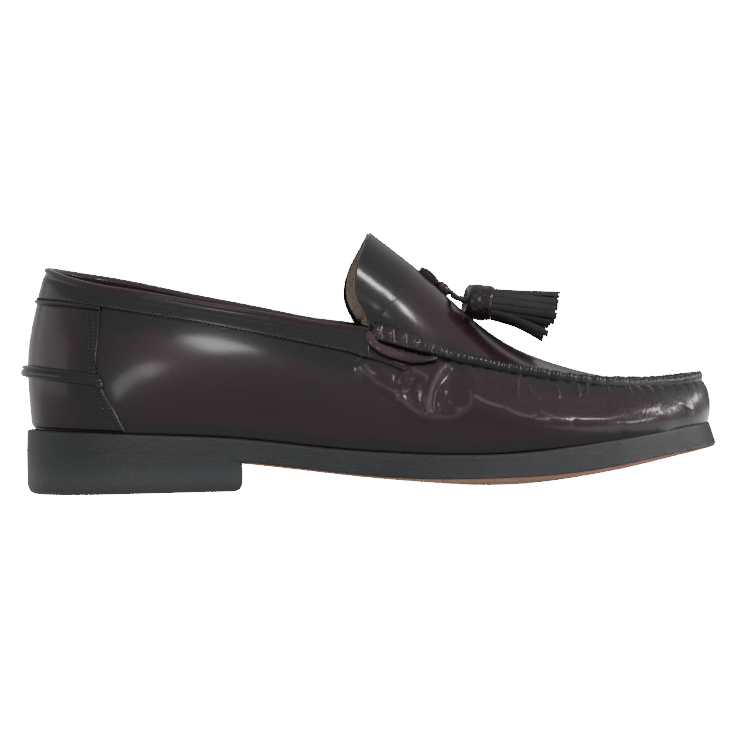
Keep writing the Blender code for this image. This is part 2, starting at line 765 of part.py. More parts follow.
def make_midsole(rubber):
    """Black sole body: its side slants outwards to the floor at the toe."""
    foot = sole_outline(0.0)
    head = sole_outline(0.0, upto=1)
    bottom = [[at_height(p, sole_z(p[0], "edge_z")) for p in across_row(pair, 4)] for pair in foot]
    top = [[at_height(p, sole_z(p[0], "top_z")) for p in across_row(pair, 4)] for pair in head]
    shape = Shape()
    plate(shape, bottom, top)
    return shape.make("midsole", rubber)


def tread_row(pair, steps):
    """The tread's underside across one pair: domed, and cut flat where it meets the floor."""
    row = []
    for n, point in enumerate(across_row(pair, steps)):
        share = 2 * n / steps - 1
        edge = sole_z(point[0], "edge_z") - GAP - 0.8
        crown = sole_z(point[0], "tread_z")
        row.append(at_height(point, max(0.0, crown + (edge - crown) * abs(share) ** 3)))
    return row


def make_outsole(tan):
    """Tan leather tread under the forefoot and waist, flat where it stands on the floor."""
    inset = 2.2
    first = station_at(HEEL_LENGTH + 2.0)
    pairs = sole_outline(inset, first=first)
    steps = 8
    bottom = [tread_row(pair, steps) for pair in pairs]
    top = [[at_height(p, sole_z(p[0], "edge_z") - GAP) for p in across_row(pair, steps)] for pair in pairs]
    shape = Shape()
    plate(shape, bottom, top)
    return shape.make("outsole", tan)


def make_heel(rubber):
    """Stacked heel, flush with the sole's edge, with soft lower corners and a straight breast."""
    last = station_at(HEEL_LENGTH - 6.0)
    levels = ((3.0, 0.0), (1.5, 0.5), (0.45, 1.6), (0.0, 3.4), (0.0, None))
    rows_by_level = []
    for inset, z in levels:
        pairs = sole_outline(inset, last=last)
        outer = [p[0] for p in pairs]
        inner = [p[1] for p in pairs]
        for side, name in ((outer, "outer"), (inner, "inner")):
            place = ring_place(station_at(HEEL_LENGTH), name)
            row = ring(place)
            corner = np.array([row[0], row[1], 0.0]) - outward(place) * inset
            corner[0] = HEEL_LENGTH - inset
            side.append(corner)
        rows = []
        for a, b in zip(outer, inner):
            row = across_row((a, b), 3)
            rows.append([at_height(p, sole_z(p[0], "edge_z") - GAP if z is None else z) for p in row])
        rows_by_level.append(rows)
    shape = Shape()
    shape.grid(rows_by_level[0])
    shape.grid(rows_by_level[-1], flip=True)
    for low, high in zip(rows_by_level, rows_by_level[1:]):
        shape.grid([[row[0] for row in low], [row[0] for row in high]])
        shape.grid([[row[-1] for row in low], [row[-1] for row in high]], flip=True)
        shape.grid([low[0], high[0]], flip=True)
        shape.grid([low[-1], high[-1]])
    return shape.make("heel", rubber)


def make_insole(leather):
    """Sock and insole on the sole inside the wall."""
    thickness = 2.4
    inset = WALL + INSOLE_CLEAR
    pairs = sole_outline(inset, upto=2)
    bottom = [[at_height(p, sole_z(p[0], "top_z") + GAP) for p in across_row(pair, 4)] for pair in pairs]
    top = [[at_height(p, sole_z(p[0], "top_z") + GAP + thickness) for p in across_row(pair, 4)]
           for pair in pairs]
    shape = Shape()
    plate(shape, bottom, top)
    return shape.make("insole", leather)


def tassel_frame(side):
    """Back centre of a tassel's cap and its three directions: along it, sideways and up."""
    pitch = math.radians(TASSEL_PITCH[side])
    splay = math.radians(TASSEL_SPLAY[side])
    ahead = np.array([math.cos(pitch) * math.cos(splay), math.cos(pitch) * math.sin(splay), math.sin(pitch)])
    sideways = np.array([-math.sin(splay), math.cos(splay), 0.0])
    return np.array(TASSEL_BACK[side], float), ahead, sideways, np.cross(ahead, sideways)


def turned(side, profile, corners=16):
    """Loops round a tassel's axis through (distance along it, radius) points."""
    back, ahead, sideways, up = tassel_frame(side)
    loops = []
    for distance, radius in profile:
        loop = []
        for n in range(corners):
            turn = 2 * math.pi * n / corners
            loop.append(back + ahead * distance + radius * (math.cos(turn) * sideways + math.sin(turn) * up))
        loops.append(loop)
    return loops


def make_tassel_cap(side, leather):
    """Wrapped cap: a cup that is open to the front for the fringe, with the thong's hole in its back."""
    hole = THONG_RADIUS + GAP
    profile = (
        (2.0, hole), (0.0, hole), (0.0, 4.6), (0.5, 6.3), (1.8, 7.1), (CAP_LENGTH * 0.5, CAP_RADIUS),
        (CAP_LENGTH - 0.6, 7.2), (CAP_LENGTH, 6.8), (CAP_LENGTH, CAP_BORE), (2.0, CAP_BORE),
    )
    loops = turned(side, profile)
    shape = Shape()
    shape.grid(loops + loops[:1], closed=True)
    return shape.make("tassel_cap_" + side, leather)


def strip_loops(side, turn, start_radius, end_radius, width, end_along, sag):
    """One cut strip of the fringe, from inside the cap to its free end."""
    back, ahead, sideways, up = tassel_frame(side)
    loops = []
    thickness = 1.1
    first = CAP_LENGTH - 4.0
    for share in (0.0, 0.3, 0.65, 1.0):
        distance = first + (end_along - first) * share
        radius = start_radius + (end_radius - start_radius) * share**1.6
        out = math.cos(turn) * sideways + math.sin(turn) * up
        over = -math.sin(turn) * sideways + math.cos(turn) * up
        centre = back + ahead * distance + out * radius - np.array([0, 0, sag * share * share])
        half = width * (0.40 + 0.10 * share)
        loops.append([
            centre + over * half + out * thickness / 2, centre - over * half + out * thickness / 2,
            centre - over * half - out * thickness / 2, centre + over * half - out * thickness / 2,
        ])
    return loops


def make_tassel_fringe(side, leather):
    """Rolled and cut leather: a head inside the cap, with its strips fused on and spread at their ends."""
    hole = THONG_RADIUS + GAP
    head_back = 2.3
    deep = THONG_IN_CAP + 0.6
    profile = (
        (deep, hole), (head_back, hole), (head_back, HEAD_RADIUS), (CAP_LENGTH + 1.5, HEAD_RADIUS - 0.1),
        (CAP_LENGTH + 9.0, 4.2), (CAP_LENGTH + 15.0, 2.4),
    )
    shape = Shape()
    tube(shape, turned(side, profile, corners=14))
    fringe = shape.make("tassel_fringe_" + side, leather)
    cutters = bpy.data.collections.new("strips_" + side)
    bpy.context.scene.collection.children.link(cutters)
    rings = ((STRIPS, 4.9, 7.4, 3.0, 0.0), (INNER_STRIPS, 2.9, 4.2, 3.0, 0.4))
    for count, start_radius, end_radius, width, phase in rings:
        for n in range(count):
            turn = 2 * math.pi * (n + phase) / count
            wave = math.sin(2.4 * n + 1.1)
            low = max(0.0, -math.sin(turn)) if count == STRIPS else 0.0
            strip = Shape()
            tube(strip, strip_loops(
                side, turn, start_radius, end_radius + 0.5 * wave + 3.4 * low**12, width + 0.25 * wave,
                CAP_LENGTH + FRINGE_LENGTH - 0.9 + 0.9 * wave - 1.5 * low, 0.4 * low,
            ))
            made = strip.make(f"strip_{side}_{count}_{n}", leather)
            bpy.context.scene.collection.objects.unlink(made)
            cutters.objects.link(made)
            made.hide_render = True
            made.display_type = "WIRE"
    join = fringe.modifiers.new("strips", "BOOLEAN")
    join.operation = "UNION"
    join.operand_type = "COLLECTION"
    join.collection = cutters
    join.solver = "EXACT"
    return fringe


def over_crown(along, across, lift):
    """Point at a height above the apron's crown line, square to it."""
    tiny = 0.5
    rows = [crown_height(along - tiny), crown_height(along + tiny)]
    slope = np.array([2 * tiny, rows[1] - rows[0]])
    slope /= np.linalg.norm(slope)
    return np.array([along - slope[1] * lift, across, crown_height(along) + slope[0] * lift])


def crown_height(along):
    """Height of the apron's crown line at a place along the shoe."""
    samples = [crown_spline(u) for u in np.linspace(CROWN_KNOTS[0], CROWN_KNOTS[-1], 200)]
    return float(np.interp(along, [s[0] for s in samples], [s[1] for s in samples]))


def thong_route(side):
    """The thong's own points: out of the apron, over in a low arch, through the knot and into the cap."""
    sign = -1 if side == "outer" else 1
    back, ahead, _, _ = tassel_frame(side)
    lie = THONG_RADIUS + GAP + 0.1
    points = [
        over_crown(167.2, sign * 2.4, lie - 0.1), over_crown(168.6, sign * 2.0, lie + 0.3),
        over_crown(170.8, sign * 1.5, lie + 0.6), over_crown(173.4, sign * 1.15, lie + 0.5),
        over_crown(176.3, sign * 1.1, lie + 0.6), over_crown(179.3, sign * 2.0, lie + 1.2),
        back - ahead * 4.2 + np.array([0, 0, 0.5]), back, back + ahead * THONG_IN_CAP,
    ]
    return points


def smooth_route(points, spacing):
    """Evenly spaced points on the smooth curve through a route's own points."""
    points = np.array(points)
    knots = np.concatenate([[0.0], np.cumsum(np.linalg.norm(np.diff(points, axis=0), axis=1))])
    curve = cubic_spline(knots, points, closed=False)
    count = int(knots[-1] / spacing)
    return [curve(u) for u in np.linspace(0.0, knots[-1], count + 1)]


def make_thong(side, leather):
    points = smooth_route(thong_route(side), 2.0)
    curve = bpy.data.curves.new("thong_" + side, "CURVE")
    curve.dimensions = "3D"
    curve.bevel_depth = THONG_RADIUS * MM
    curve.bevel_resolution = 2
    curve.use_fill_caps = True
    line = curve.splines.new("POLY")
    line.points.add(len(points) - 1)
    for target, p in zip(line.points, points):
        target.co = ((p[0] - HEEL_CENTRE) * MM, p[1] * MM, p[2] * MM, 1.0)
    curve.materials.append(leather)
    made = bpy.data.objects.new("thong_" + side, curve)
    bpy.context.scene.collection.objects.link(made)
    return made


def make_knot(leather):
    """Wrap of leather that holds both thongs together on the crown, with an oval way through."""
    centre = (thong_route("outer")[4] + thong_route("inner")[4]) / 2
    ahead = over_crown(178.3, 0.0, 0.0) - over_crown(174.3, 0.0, 0.0)
    ahead /= np.linalg.norm(ahead)
    sideways = np.array([0.0, 1.0, 0.0])
    up = np.cross(ahead, sideways)
    up = up if up[2] > 0 else -up
    bore_wide = 1.1 + THONG_RADIUS + 0.7
    bore_high = THONG_RADIUS + 0.35
    sections = ((-2.1, 0.0), (-1.4, 0.75), (0.0, 1.0), (1.4, 0.75), (2.1, 0.0))
    wall = 0.6
    loops = []
    for reach, fullness in sections:
        loops.append([(reach, bore_wide + 0.2 + wall * fullness, bore_high + 0.15 + (wall - 0.1) * fullness)])
    loops += [[(1.2, bore_wide, bore_high)], [(-1.2, bore_wide, bore_high)]]
    made = []
    for ((reach, wide, high),) in loops:
        made.append([
            centre + ahead * reach + sideways * wide * math.cos(math.radians(30 * n))
            + up * high * math.sin(math.radians(30 * n)) for n in range(12)
        ])
    shape = Shape()
    shape.grid(made + made[:1], closed=True)
    return shape.make("thong_knot", leather)


def build():
    for old in list(bpy.data.objects):
        bpy.data.objects.remove(old)
    burgundy = material("burgundy_leather", BURGUNDY, 0.22)
    dark = material("dark_leather", BLACK_LEATHER, 0.35)
    black = material("black_sole", SOLE_BLACK, 0.45)
    tan = material("tan_leather", TAN, 0.6)
    lining = material("lining_leather", LINING_TAN, 0.7)
    make_upper(burgundy)
    make_collar_band(burgundy)
    make_heel_stay(burgundy)
    make_heel_foxing(burgundy)
    make_heel_bead(burgundy)
    make_midsole(black)
    make_outsole(tan)
    make_heel(black)
    make_insole(lining)
    for side in ("outer", "inner"):
        make_band_tip(side, burgundy)
        make_ear(side, burgundy)
        make_tassel_cap(side, dark)
        make_tassel_fringe(side, dark)
        make_thong(side, dark)
    make_knot(dark)


build()
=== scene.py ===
"""Tassel loafer, right shoe: polished leather, seams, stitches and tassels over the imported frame.

Lengths are millimetres until a mesh is made. "along" runs from the back of the sole to the toe,
"across" is negative on the outer side of the foot, and "z" is the height above the floor.
A place is a distance round the sole's outline, from the heel's back along the outer side first.
"""

import math

import bmesh
import bpy
import numpy as np
from mathutils import Matrix, Vector


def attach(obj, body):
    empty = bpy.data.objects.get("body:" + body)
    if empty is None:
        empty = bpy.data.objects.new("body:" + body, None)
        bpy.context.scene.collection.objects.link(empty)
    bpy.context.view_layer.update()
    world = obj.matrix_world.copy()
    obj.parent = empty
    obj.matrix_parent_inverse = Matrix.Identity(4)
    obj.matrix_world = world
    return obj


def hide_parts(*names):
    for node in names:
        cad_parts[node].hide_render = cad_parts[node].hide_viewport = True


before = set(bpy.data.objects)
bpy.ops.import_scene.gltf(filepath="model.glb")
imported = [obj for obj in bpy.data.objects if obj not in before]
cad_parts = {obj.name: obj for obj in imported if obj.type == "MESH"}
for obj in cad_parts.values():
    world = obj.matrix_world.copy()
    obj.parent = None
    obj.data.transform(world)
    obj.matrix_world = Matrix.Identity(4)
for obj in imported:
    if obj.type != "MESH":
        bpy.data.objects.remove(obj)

bl_info = {
    "name": "Tassel loafer",
    "version": (1, 0, 0),
    "blender": (4, 5, 0),
    "location": "View3D > Sidebar > Loafer",
    "description": "Makes the leather, seams, stitches and tassels of a loafer on its frame",
    "category": "Add Mesh",
}

MM = 0.001

# Sizes shared with the frame
HEEL_LENGTH = 88.8
HEEL_CENTRE = 44.0
WALL = 2.2
GAP = 0.3

# Sections of the upper, from the heel's back to the toe
SECTION_COLUMNS = (
    "sole_along", "sole_outer", "sole_inner", "slant", "ledge", "belly_outer", "belly_inner", "belly_up",
    "brow_out", "brow_drop", "top_along", "top_outer", "top_inner", "top_z", "inner_rise",
    "crown_along", "crown_z",
)
SECTIONS = (
    (0.0, 0.0, 0.0, 0.5, 3.2, 2.4, 2.4, 0.50, 8.8, 0.50, 10.6, 0.0, 0.0, 93.5, 0.0, 0, 0),
    (5.5, -18.5, 18.5, 0.5, 3.0, 2.8, 2.8, 0.48, 8.2, 0.48, 15.0, -12.0, 12.0, 91.2, 1.8, 0, 0),
    (20.0, -30.0, 29.5, 0.6, 2.6, 3.4, 3.4, 0.42, 6.6, 0.42, 27.0, -21.3, 20.8, 87.4, 3.4, 0, 0),
    (45.0, -33.5, 32.0, 0.8, 2.2, 4.2, 4.2, 0.34, 5.0, 0.34, 47.0, -26.4, 25.6, 83.6, 3.4, 0, 0),
    (75.0, -33.6, 30.0, 0.8, 2.0, 4.4, 5.0, 0.30, 4.4, 0.30, 74.0, -29.2, 28.4, 78.3, 2.4, 0, 0),
    (105.0, -35.4, 28.5, 0.8, 1.9, 4.2, 5.8, 0.30, 4.6, 0.29, 102.0, -30.8, 30.0, 73.0, 1.6, 0, 0),
    (132.0, -39.4, 30.5, 0.8, 1.8, 4.0, 6.0, 0.30, 5.2, 0.27, 128.0, -31.4, 30.6, 68.0, 1.0, 0, 0),
    (149.0, -43.2, 34.2, 0.8, 1.8, 3.8, 5.4, 0.30, 6.2, 0.24, 143.0, -31.4, 30.4, 65.8, 0.8, 164.5, 92.6),
    (165.0, -47.2, 39.0, 0.8, 1.8, 3.6, 4.8, 0.30, 7.8, 0.20, 157.5, -32.6, 31.2, 61.2, 0.2, 176.0, 81.8),
    (182.0, -50.8, 43.8, 0.9, 1.8, 3.4, 4.2, 0.30, 9.4, 0.16, 173.5, -34.4, 32.6, 55.5, -0.4, 187.2, 71.2),
    (201.0, -52.8, 47.4, 1.0, 1.8, 3.2, 3.6, 0.30, 10.2, 0.14, 193.0, -35.8, 34.0, 50.4, -0.9, 201.4, 60.0),
    (221.0, -51.8, 48.6, 1.2, 1.8, 3.0, 3.2, 0.30, 9.8, 0.14, 213.5, -35.8, 34.4, 46.1, -1.1, 217.6, 51.9),
    (240.0, -47.8, 46.8, 1.5, 1.7, 2.8, 3.0, 0.30, 8.6, 0.16, 234.0, -33.4, 32.8, 42.8, -1.1, 235.6, 46.1),
    (258.0, -41.0, 42.2, 1.9, 1.5, 2.6, 2.8, 0.29, 7.4, 0.18, 252.6, -28.0, 29.0, 41.3, -0.8, 253.2, 42.4),
    (273.6, -31.0, 35.0, 2.3, 1.2, 2.2, 2.4, 0.28, 6.6, 0.20, 267.8, -20.6, 23.6, 41.1, -0.4, 268.4, 41.2),
    (286.0, -18.0, 24.0, 2.7, 0.7, 2.0, 2.1, 0.28, 6.0, 0.20, 279.6, -11.2, 15.2, 41.9, -0.1, 280.2, 41.7),
    (292.0, 3.0, 3.0, 2.9, 0.4, 1.9, 1.9, 0.28, 5.8, 0.20, 284.8, 2.4, 2.4, 42.6, 0.0, 284.8, 42.6),
)
THROAT = 7
TOE = len(SECTIONS) - 1
SOLE_COLUMNS = ("along", "top_z", "edge_z", "tread_z")
SOLE_PROFILE = (
    (0.0, 27.3, 17.4, 16.2), (25.0, 26.3, 16.3, 15.1), (50.0, 24.8, 15.1, 13.9), (75.0, 23.3, 13.8, 12.6),
    (95.0, 21.4, 11.7, 10.4), (117.0, 18.5, 8.7, 7.4), (142.0, 15.8, 5.6, 4.0), (165.0, 14.3, 3.7, 1.5),
    (190.0, 13.7, 3.0, -0.5), (210.0, 14.5, 3.3, -0.2), (230.0, 16.5, 4.7, 2.1), (250.0, 19.0, 7.4, 5.3),
    (270.0, 21.6, 10.9, 9.3), (292.0, 23.9, 14.4, 13.3),
)
# Corners of the sole's edge, as (inset, drop) at its top and (inset, rise) at its foot
SOLE_TOP_CORNER = ((8.0, -0.1), (3.2, -0.1), (1.0, 0.0), (0.45, 0.12), (0.1, 0.5))
SOLE_LOW_CORNER = ((0.02, 0.35), (0.25, 0.08), (0.7, 0.0), (6.0, 0.0))
# Loops of the heel, as (inset, z): the last two follow the sole
HEEL_LEVELS = (
    (9.0, 0.0), (4.2, 0.0), (3.0, 0.15), (2.0, 0.5), (1.2, 1.1), (0.6, 2.0), (0.15, 3.4), (0.0, 5.0), (0.0, 8.0),
    (0.0, 12.0), (0.0, None), (0.1, None),
)
TONGUE_TIP = (147.2, 106.6)
# Distance from the tongue's tip, and the degrees that its outer and inner half turn through
TONGUE_ROWS = (
    (0.0, 30.0, 12.0), (0.8, 45.0, 26.0), (2.2, 58.0, 43.0), (4.0, 67.0, 60.0), (6.8, 75.0, 74.0), (11.0, 81.0, 84.5),
    (16.5, 86.0, 91.0),
)
# Lower edge of the collar band, as (along, z)
BAND_LOW = (
    (0.0, 82.0), (16.9, 80.6), (29.6, 78.6), (52.0, 74.6), (68.0, 71.6), (88.7, 67.3),
    (110.7, 62.6), (133.1, 57.4), (147.8, 52.6), (158.3, 48.1),
)
BAND_INSIDE_DROP = 8.0
ROLL_DROP = 2.6
BAND_END = 6.98
# Front edges of the heel's patches, their stitch rows behind them, and their stitches' size
STAY_FRONT = 30.0
FOXING_FRONT = 40.5
STAY_ROWS = (1.5, 3.6)
FOXING_ROWS = (2.0, 4.2)
STITCH_LENGTH = 1.3
STITCH_GAP = 0.3
BEAD_Z_BACK = 52.2
BEAD_Z_FRONT = 47.9
BEAD_OUT_BACK = 4.8
BEAD_OUT_FRONT = 1.3
BAND_CLEAR = 0.006
BAND_OUT = 1.35
ZIGZAG_LENGTH = 0.95
ZIGZAG_WIDTH = 0.75
PATCH_OUT = 1.25
# Flat end of the collar band, as (along, low z, high z), and the line of the rolled ear, as (along, z)
BAND_TIP = (
    (141.0, 54.9, 58.7), (145.0, 53.6, 56.2), (149.0, 52.2, 54.0), (153.0, 50.5, 52.0), (157.0, 48.7, 50.4),
)
EAR_ROUTE = (
    (143.9, 65.2), (143.2, 63.6), (143.9, 61.2), (146.2, 58.9), (149.2, 57.2), (152.8, 55.6),
    (156.7, 54.3), (160.6, 53.4), (164.6, 52.9), (168.0, 53.0), (170.8, 53.4),
)
EAR_HALF_WIDTH = 2.1
EAR_HEIGHT = 2.6
CAP_LENGTH = 10.0
FRINGE_LENGTH = 27.6
# Profile of the cap from the middle of its back, as (reach, radius), and its dents, as (reach, degrees, depth, size)
CAP_PROFILE = (
    (2.4, 1.2), (1.8, 2.6), (1.0, 4.1), (0.3, 5.3), (0.1, 6.0), (0.5, 6.6), (1.3, 7.0), (2.4, 7.2), (4.0, 7.3),
    (5.2, 7.2), (6.6, 7.3), (8.0, 7.3), (9.0, 7.2), (9.7, 6.95), (10.0, 6.6), (9.9, 6.1), (9.2, 5.9),
)
CAP_DENTS = (
    (3.0, 200, -0.35, 1.3), (5.6, 170, -0.3, 1.5), (5.4, 235, 0.3, 1.1), (7.6, 205, -0.3, 1.2), (3.6, 140, 0.25, 1.2),
    (6.4, 110, -0.3, 1.4), (4.0, 60, 0.25, 1.6), (6.8, 20, -0.3, 1.5), (4.6, 300, -0.3, 1.5),
)
# Rings of the fringe: strips, radius at the cap, radius at the ends, width, and turn as a share of a strip
FRINGE_RINGS = (
    (13, 5.5, 7.3, 3.3, 0.0), (10, 4.3, 5.6, 3.2, 0.5), (7, 2.8, 3.8, 3.0, 0.2), (4, 1.2, 1.8, 2.6, 0.6),
)
STRIP_START = 6.0
STRIP_PROFILE = (
    (-0.92, -0.5), (-1.0, 0.0), (-0.92, 0.6), (-0.5, 0.95), (0.0, 1.05), (0.5, 0.95), (0.92, 0.6), (1.0, 0.0),
    (0.92, -0.5), (0.0, -0.6),
)
THONG_RADIUS = 0.8
THONG_IN_CAP = 8.0
# Where along the shoe the thong is fuller, as a share of its radius
THONG_ALONG = (167.4, 169.4, 171.6, 174.0, 176.5, 179.5, 184.0, 187.5)
THONG_FULLNESS = (1.2, 1.6, 1.6, 1.3, 1.1, 1.2, 1.6, 1.8)
TASSEL_BACK = {"outer": (187.0, -11.6, 77.3), "inner": (187.4, 11.6, 77.1)}
TASSEL_PITCH = {"outer": -8.0, "inner": -12.0}
TASSEL_SPLAY = {"outer": -7.0, "inner": 7.0}
SLOT_FINISH = {
    "burgundy_leather": "polished_burgundy", "tassel_leather": "polished_tassel", "black_sole": "dressed_edge",
    "tan_leather": "sole_tread", "lining_leather": "soft_lining", "dark_leather": "edge_thread",
}
SIDES = ("outer", "inner")
UP = np.array([0.0, 0.0, 1.0])

# Closeness of the wall's columns at the outer forefoot, at the inner forefoot and behind them
OUTER_CLOSENESS = 2.6
INNER_CLOSENESS = 1.7
QUARTER_CLOSENESS = 0.65
WALL_COLUMNS = 1000
WALL_ROWS = 98
# Small pebbles of the grain, which grow towards the toe
PEBBLE_HEIGHT = 0.045
PEBBLES_FROM = 196.0
PEBBLES_TO = 262.0
# How far the gathers reach down the wall, how much that varies, and how much further it is at the toe
GATHER_REACH = 4.2
GATHER_VARIES = 1.3
GATHER_AT_TOE = 2.0
# Folds narrower than this have lighter crests, partly rubbed wear and partly painted highlight: full at this height
# and this much lighter
CREST_WIDTH = 5.0
CREST_FULL = 0.95
CREST_WEAR_AND_HIGHLIGHT = 0.75
# Darkness of the wall's finish all over and at each place, and the waist's middle, reach and length
WALL_SHADE = 0.15
COLLAR_SHADE = 0.8
SEAM_SHADE = 0.85
SOLE_SHADE = 0.6
HEEL_SHADE = 0.4
WAIST_SHADE = 0.2
WAIST_MIDDLE = (122.0, 47.0)
WAIST_REACH = 14.0
WAIST_STRETCH = 3.2
HEEL_PATCH_MIDDLE = 32.0
TONGUE_GRID_ROWS = 46
APRON_COLUMNS = 90
# The tongue's edge: how deep its middle lies, and its half width and half height
TONGUE_EDGE_DEPTH = 0.62
TONGUE_EDGE_WIDE = 0.5
TONGUE_EDGE_HIGH = 0.68
# The apron seam: height, reach on the wall and on the apron, and how much wider it is at the throat
SEAM_COLUMNS = 1500
SEAM_TALL = 2.9
SEAM_ON_WALL = 2.5
SEAM_ON_APRON = 2.4
SEAM_WIDER = 0.75
# Length, width and height, halved, of the knot, of the loop behind it and of the heel bead's end knots
KNOT_HALF = (3.5, 3.1, 2.4)
LOOP_HALF = (4.8, 2.1, 2.6)
BEAD_KNOT_HALF = (2.7, 1.2, 1.5)
PIPING_WIDE = 0.95
PIPING_HIGH = 1.05
# The heel's front corners start this far behind its front, and their line bows and narrows by these
HEEL_CORNER = 5.0
BREAST_BOW = 0.985
BREAST_NARROWS = 34.0

# Folds of the leather where the forefoot bends: side, height, half width, and the line's (along, z)
FOLDS = (
    ("outer", 0.8, 2.3, ((139.1, 51.1), (141.5, 47.6), (145.3, 44.6), (149.8, 41.8), (153.1, 39.9), (155.2, 37.0),
                         (158.5, 34.2), (162.2, 31.4), (166.9, 29.8), (170.0, 29.4))),
    ("outer", 0.75, 2.3, ((170.0, 29.4), (174.3, 29.4), (179.1, 30.6), (182.8, 33.7), (183.9, 36.8), (183.6, 39.0))),
    ("outer", 0.6, 1.7, ((158.8, 45.3), (155.8, 42.3), (155.0, 39.1), (155.6, 36.8))),
    ("outer", -0.6, 3.0, ((146.6, 48.0), (151.6, 44.6))),
    ("outer", -0.6, 3.0, ((160.6, 42.0), (161.4, 36.6))),
    ("outer", 0.95, 1.9, ((174.4, 50.6), (172.1, 48.8), (169.7, 45.2), (167.7, 41.2), (166.6, 37.0), (166.5, 32.0))),
    ("outer", 0.55, 2.2, ((172.6, 40.0), (171.8, 35.0), (173.2, 31.0))),
    ("outer", 0.5, 1.6, ((154.4, 45.4), (157.2, 48.4))),
    ("outer", -1.5, 5.2, ((177.4, 44.8), (177.8, 40.2))),
    ("outer", 2.2, 8.5, ((184.0, 36.0), (196.5, 31.3), (208.0, 27.6), (224.0, 25.2), (240.0, 24.4), (262.0, 26.4))),
    ("outer", 1.0, 1.3, ((185.6, 37.2), (188.6, 35.4), (196.5, 32.7))),
    ("outer", 0.9, 1.4, ((198.0, 32.2), (203.0, 29.6), (208.4, 28.4))),
    ("outer", 0.8, 1.4, ((212.3, 30.4), (218.0, 27.8), (224.8, 25.7))),
    ("outer", 0.5, 1.6, ((228.5, 26.6), (233.0, 25.2), (238.5, 24.9))),
    ("outer", 0.5, 1.8, ((240.6, 25.0), (252.0, 25.2), (263.9, 27.3))),
    ("outer", -0.5, 3.4, ((190.0, 41.0), (203.0, 36.9), (220.0, 33.9), (240.0, 31.5))),
    ("outer", -0.35, 3.6, ((185.0, 27.0), (205.0, 23.0), (225.0, 21.6), (245.0, 21.6))),
    ("outer", 0.55, 0.9, ((184.4, 48.4), (185.6, 43.6))),
    ("outer", 0.5, 0.8, ((194.4, 44.6), (194.0, 41.0), (195.6, 37.8))),
    ("outer", 0.6, 0.8, ((203.9, 45.6), (203.4, 41.0), (203.0, 36.2))),
    ("outer", 0.45, 0.8, ((208.4, 41.2), (209.4, 38.0), (212.6, 36.4))),
    ("outer", 0.45, 0.7, ((220.0, 41.0), (221.0, 37.0))),
    ("outer", 0.45, 0.7, ((229.0, 40.4), (229.8, 37.2))),
    ("outer", 0.4, 0.7, ((233.2, 41.2), (233.0, 37.4))),
    ("outer", 0.4, 0.7, ((242.0, 40.6), (242.6, 37.6))),
    ("outer", 0.35, 0.7, ((251.6, 40.0), (252.2, 37.6))),
    ("outer", 0.4, 1.5, ((261.9, 32.9), (269.0, 30.2))),
    ("outer", 0.35, 1.4, ((274.6, 32.1), (278.7, 29.1))),
    ("inner", 1.0, 1.7, ((141.0, 50.0), (148.0, 43.6), (156.4, 38.2), (165.4, 32.6), (173.0, 31.0))),
    ("inner", -0.8, 2.4, ((149.0, 48.0), (157.0, 43.0), (165.0, 38.0))),
    ("inner", 0.8, 1.2, ((165.4, 46.4), (163.0, 41.0), (163.6, 36.0))),
    ("inner", 1.0, 1.5, ((173.0, 36.4), (177.6, 32.2), (184.6, 32.4), (190.6, 35.0))),
    ("inner", -1.4, 4.4, ((178.6, 44.6), (180.0, 39.6))),
    ("inner", 0.8, 1.6, ((193.0, 35.0), (201.0, 32.4), (209.0, 30.6))),
    ("inner", 0.7, 1.6, ((214.0, 31.0), (224.0, 28.4), (236.0, 27.4))),
    ("inner", 0.45, 0.9, ((196.0, 44.6), (197.0, 38.6))),
    ("inner", 0.4, 0.9, ((207.0, 42.6), (209.0, 37.6))),
)

# Camera and studio
CAMERA_AZIMUTH = -4.5
CAMERA_ELEVATION = 1.5
CAMERA_ROLL = 1.3
CAMERA_DISTANCE = 3200.0
CAMERA_AIM = (145.04, 0.0, 49.79)
CAMERA_SHIFT = 0.51
VIEW_WIDTH = 310.0
SENSOR = 36.0
SKY_STRENGTH = 0.45
FLOOR_GLOW = 40.0
# Soft lights: name, place, aim, width, height, watts, and whether the polish shows them
LIGHTS = (
    ("toe_softbox", (657.0, -552.0, 622.0), (144.0, -28.0, 87.0), 110.0, 56.0, 0.95, True),
    ("toe_side_softbox", (615.0, -86.0, 231.0), (260.0, -30.0, 30.0), 90.0, 50.0, 0.25, True),
    ("front_fill", (144.0, -1500.0, 700.0), (150.0, 0.0, 40.0), 900.0, 600.0, 9.0, False),
    ("top_fill", (150.0, 200.0, 1400.0), (150.0, 0.0, 40.0), 1200.0, 700.0, 8.0, False),
)
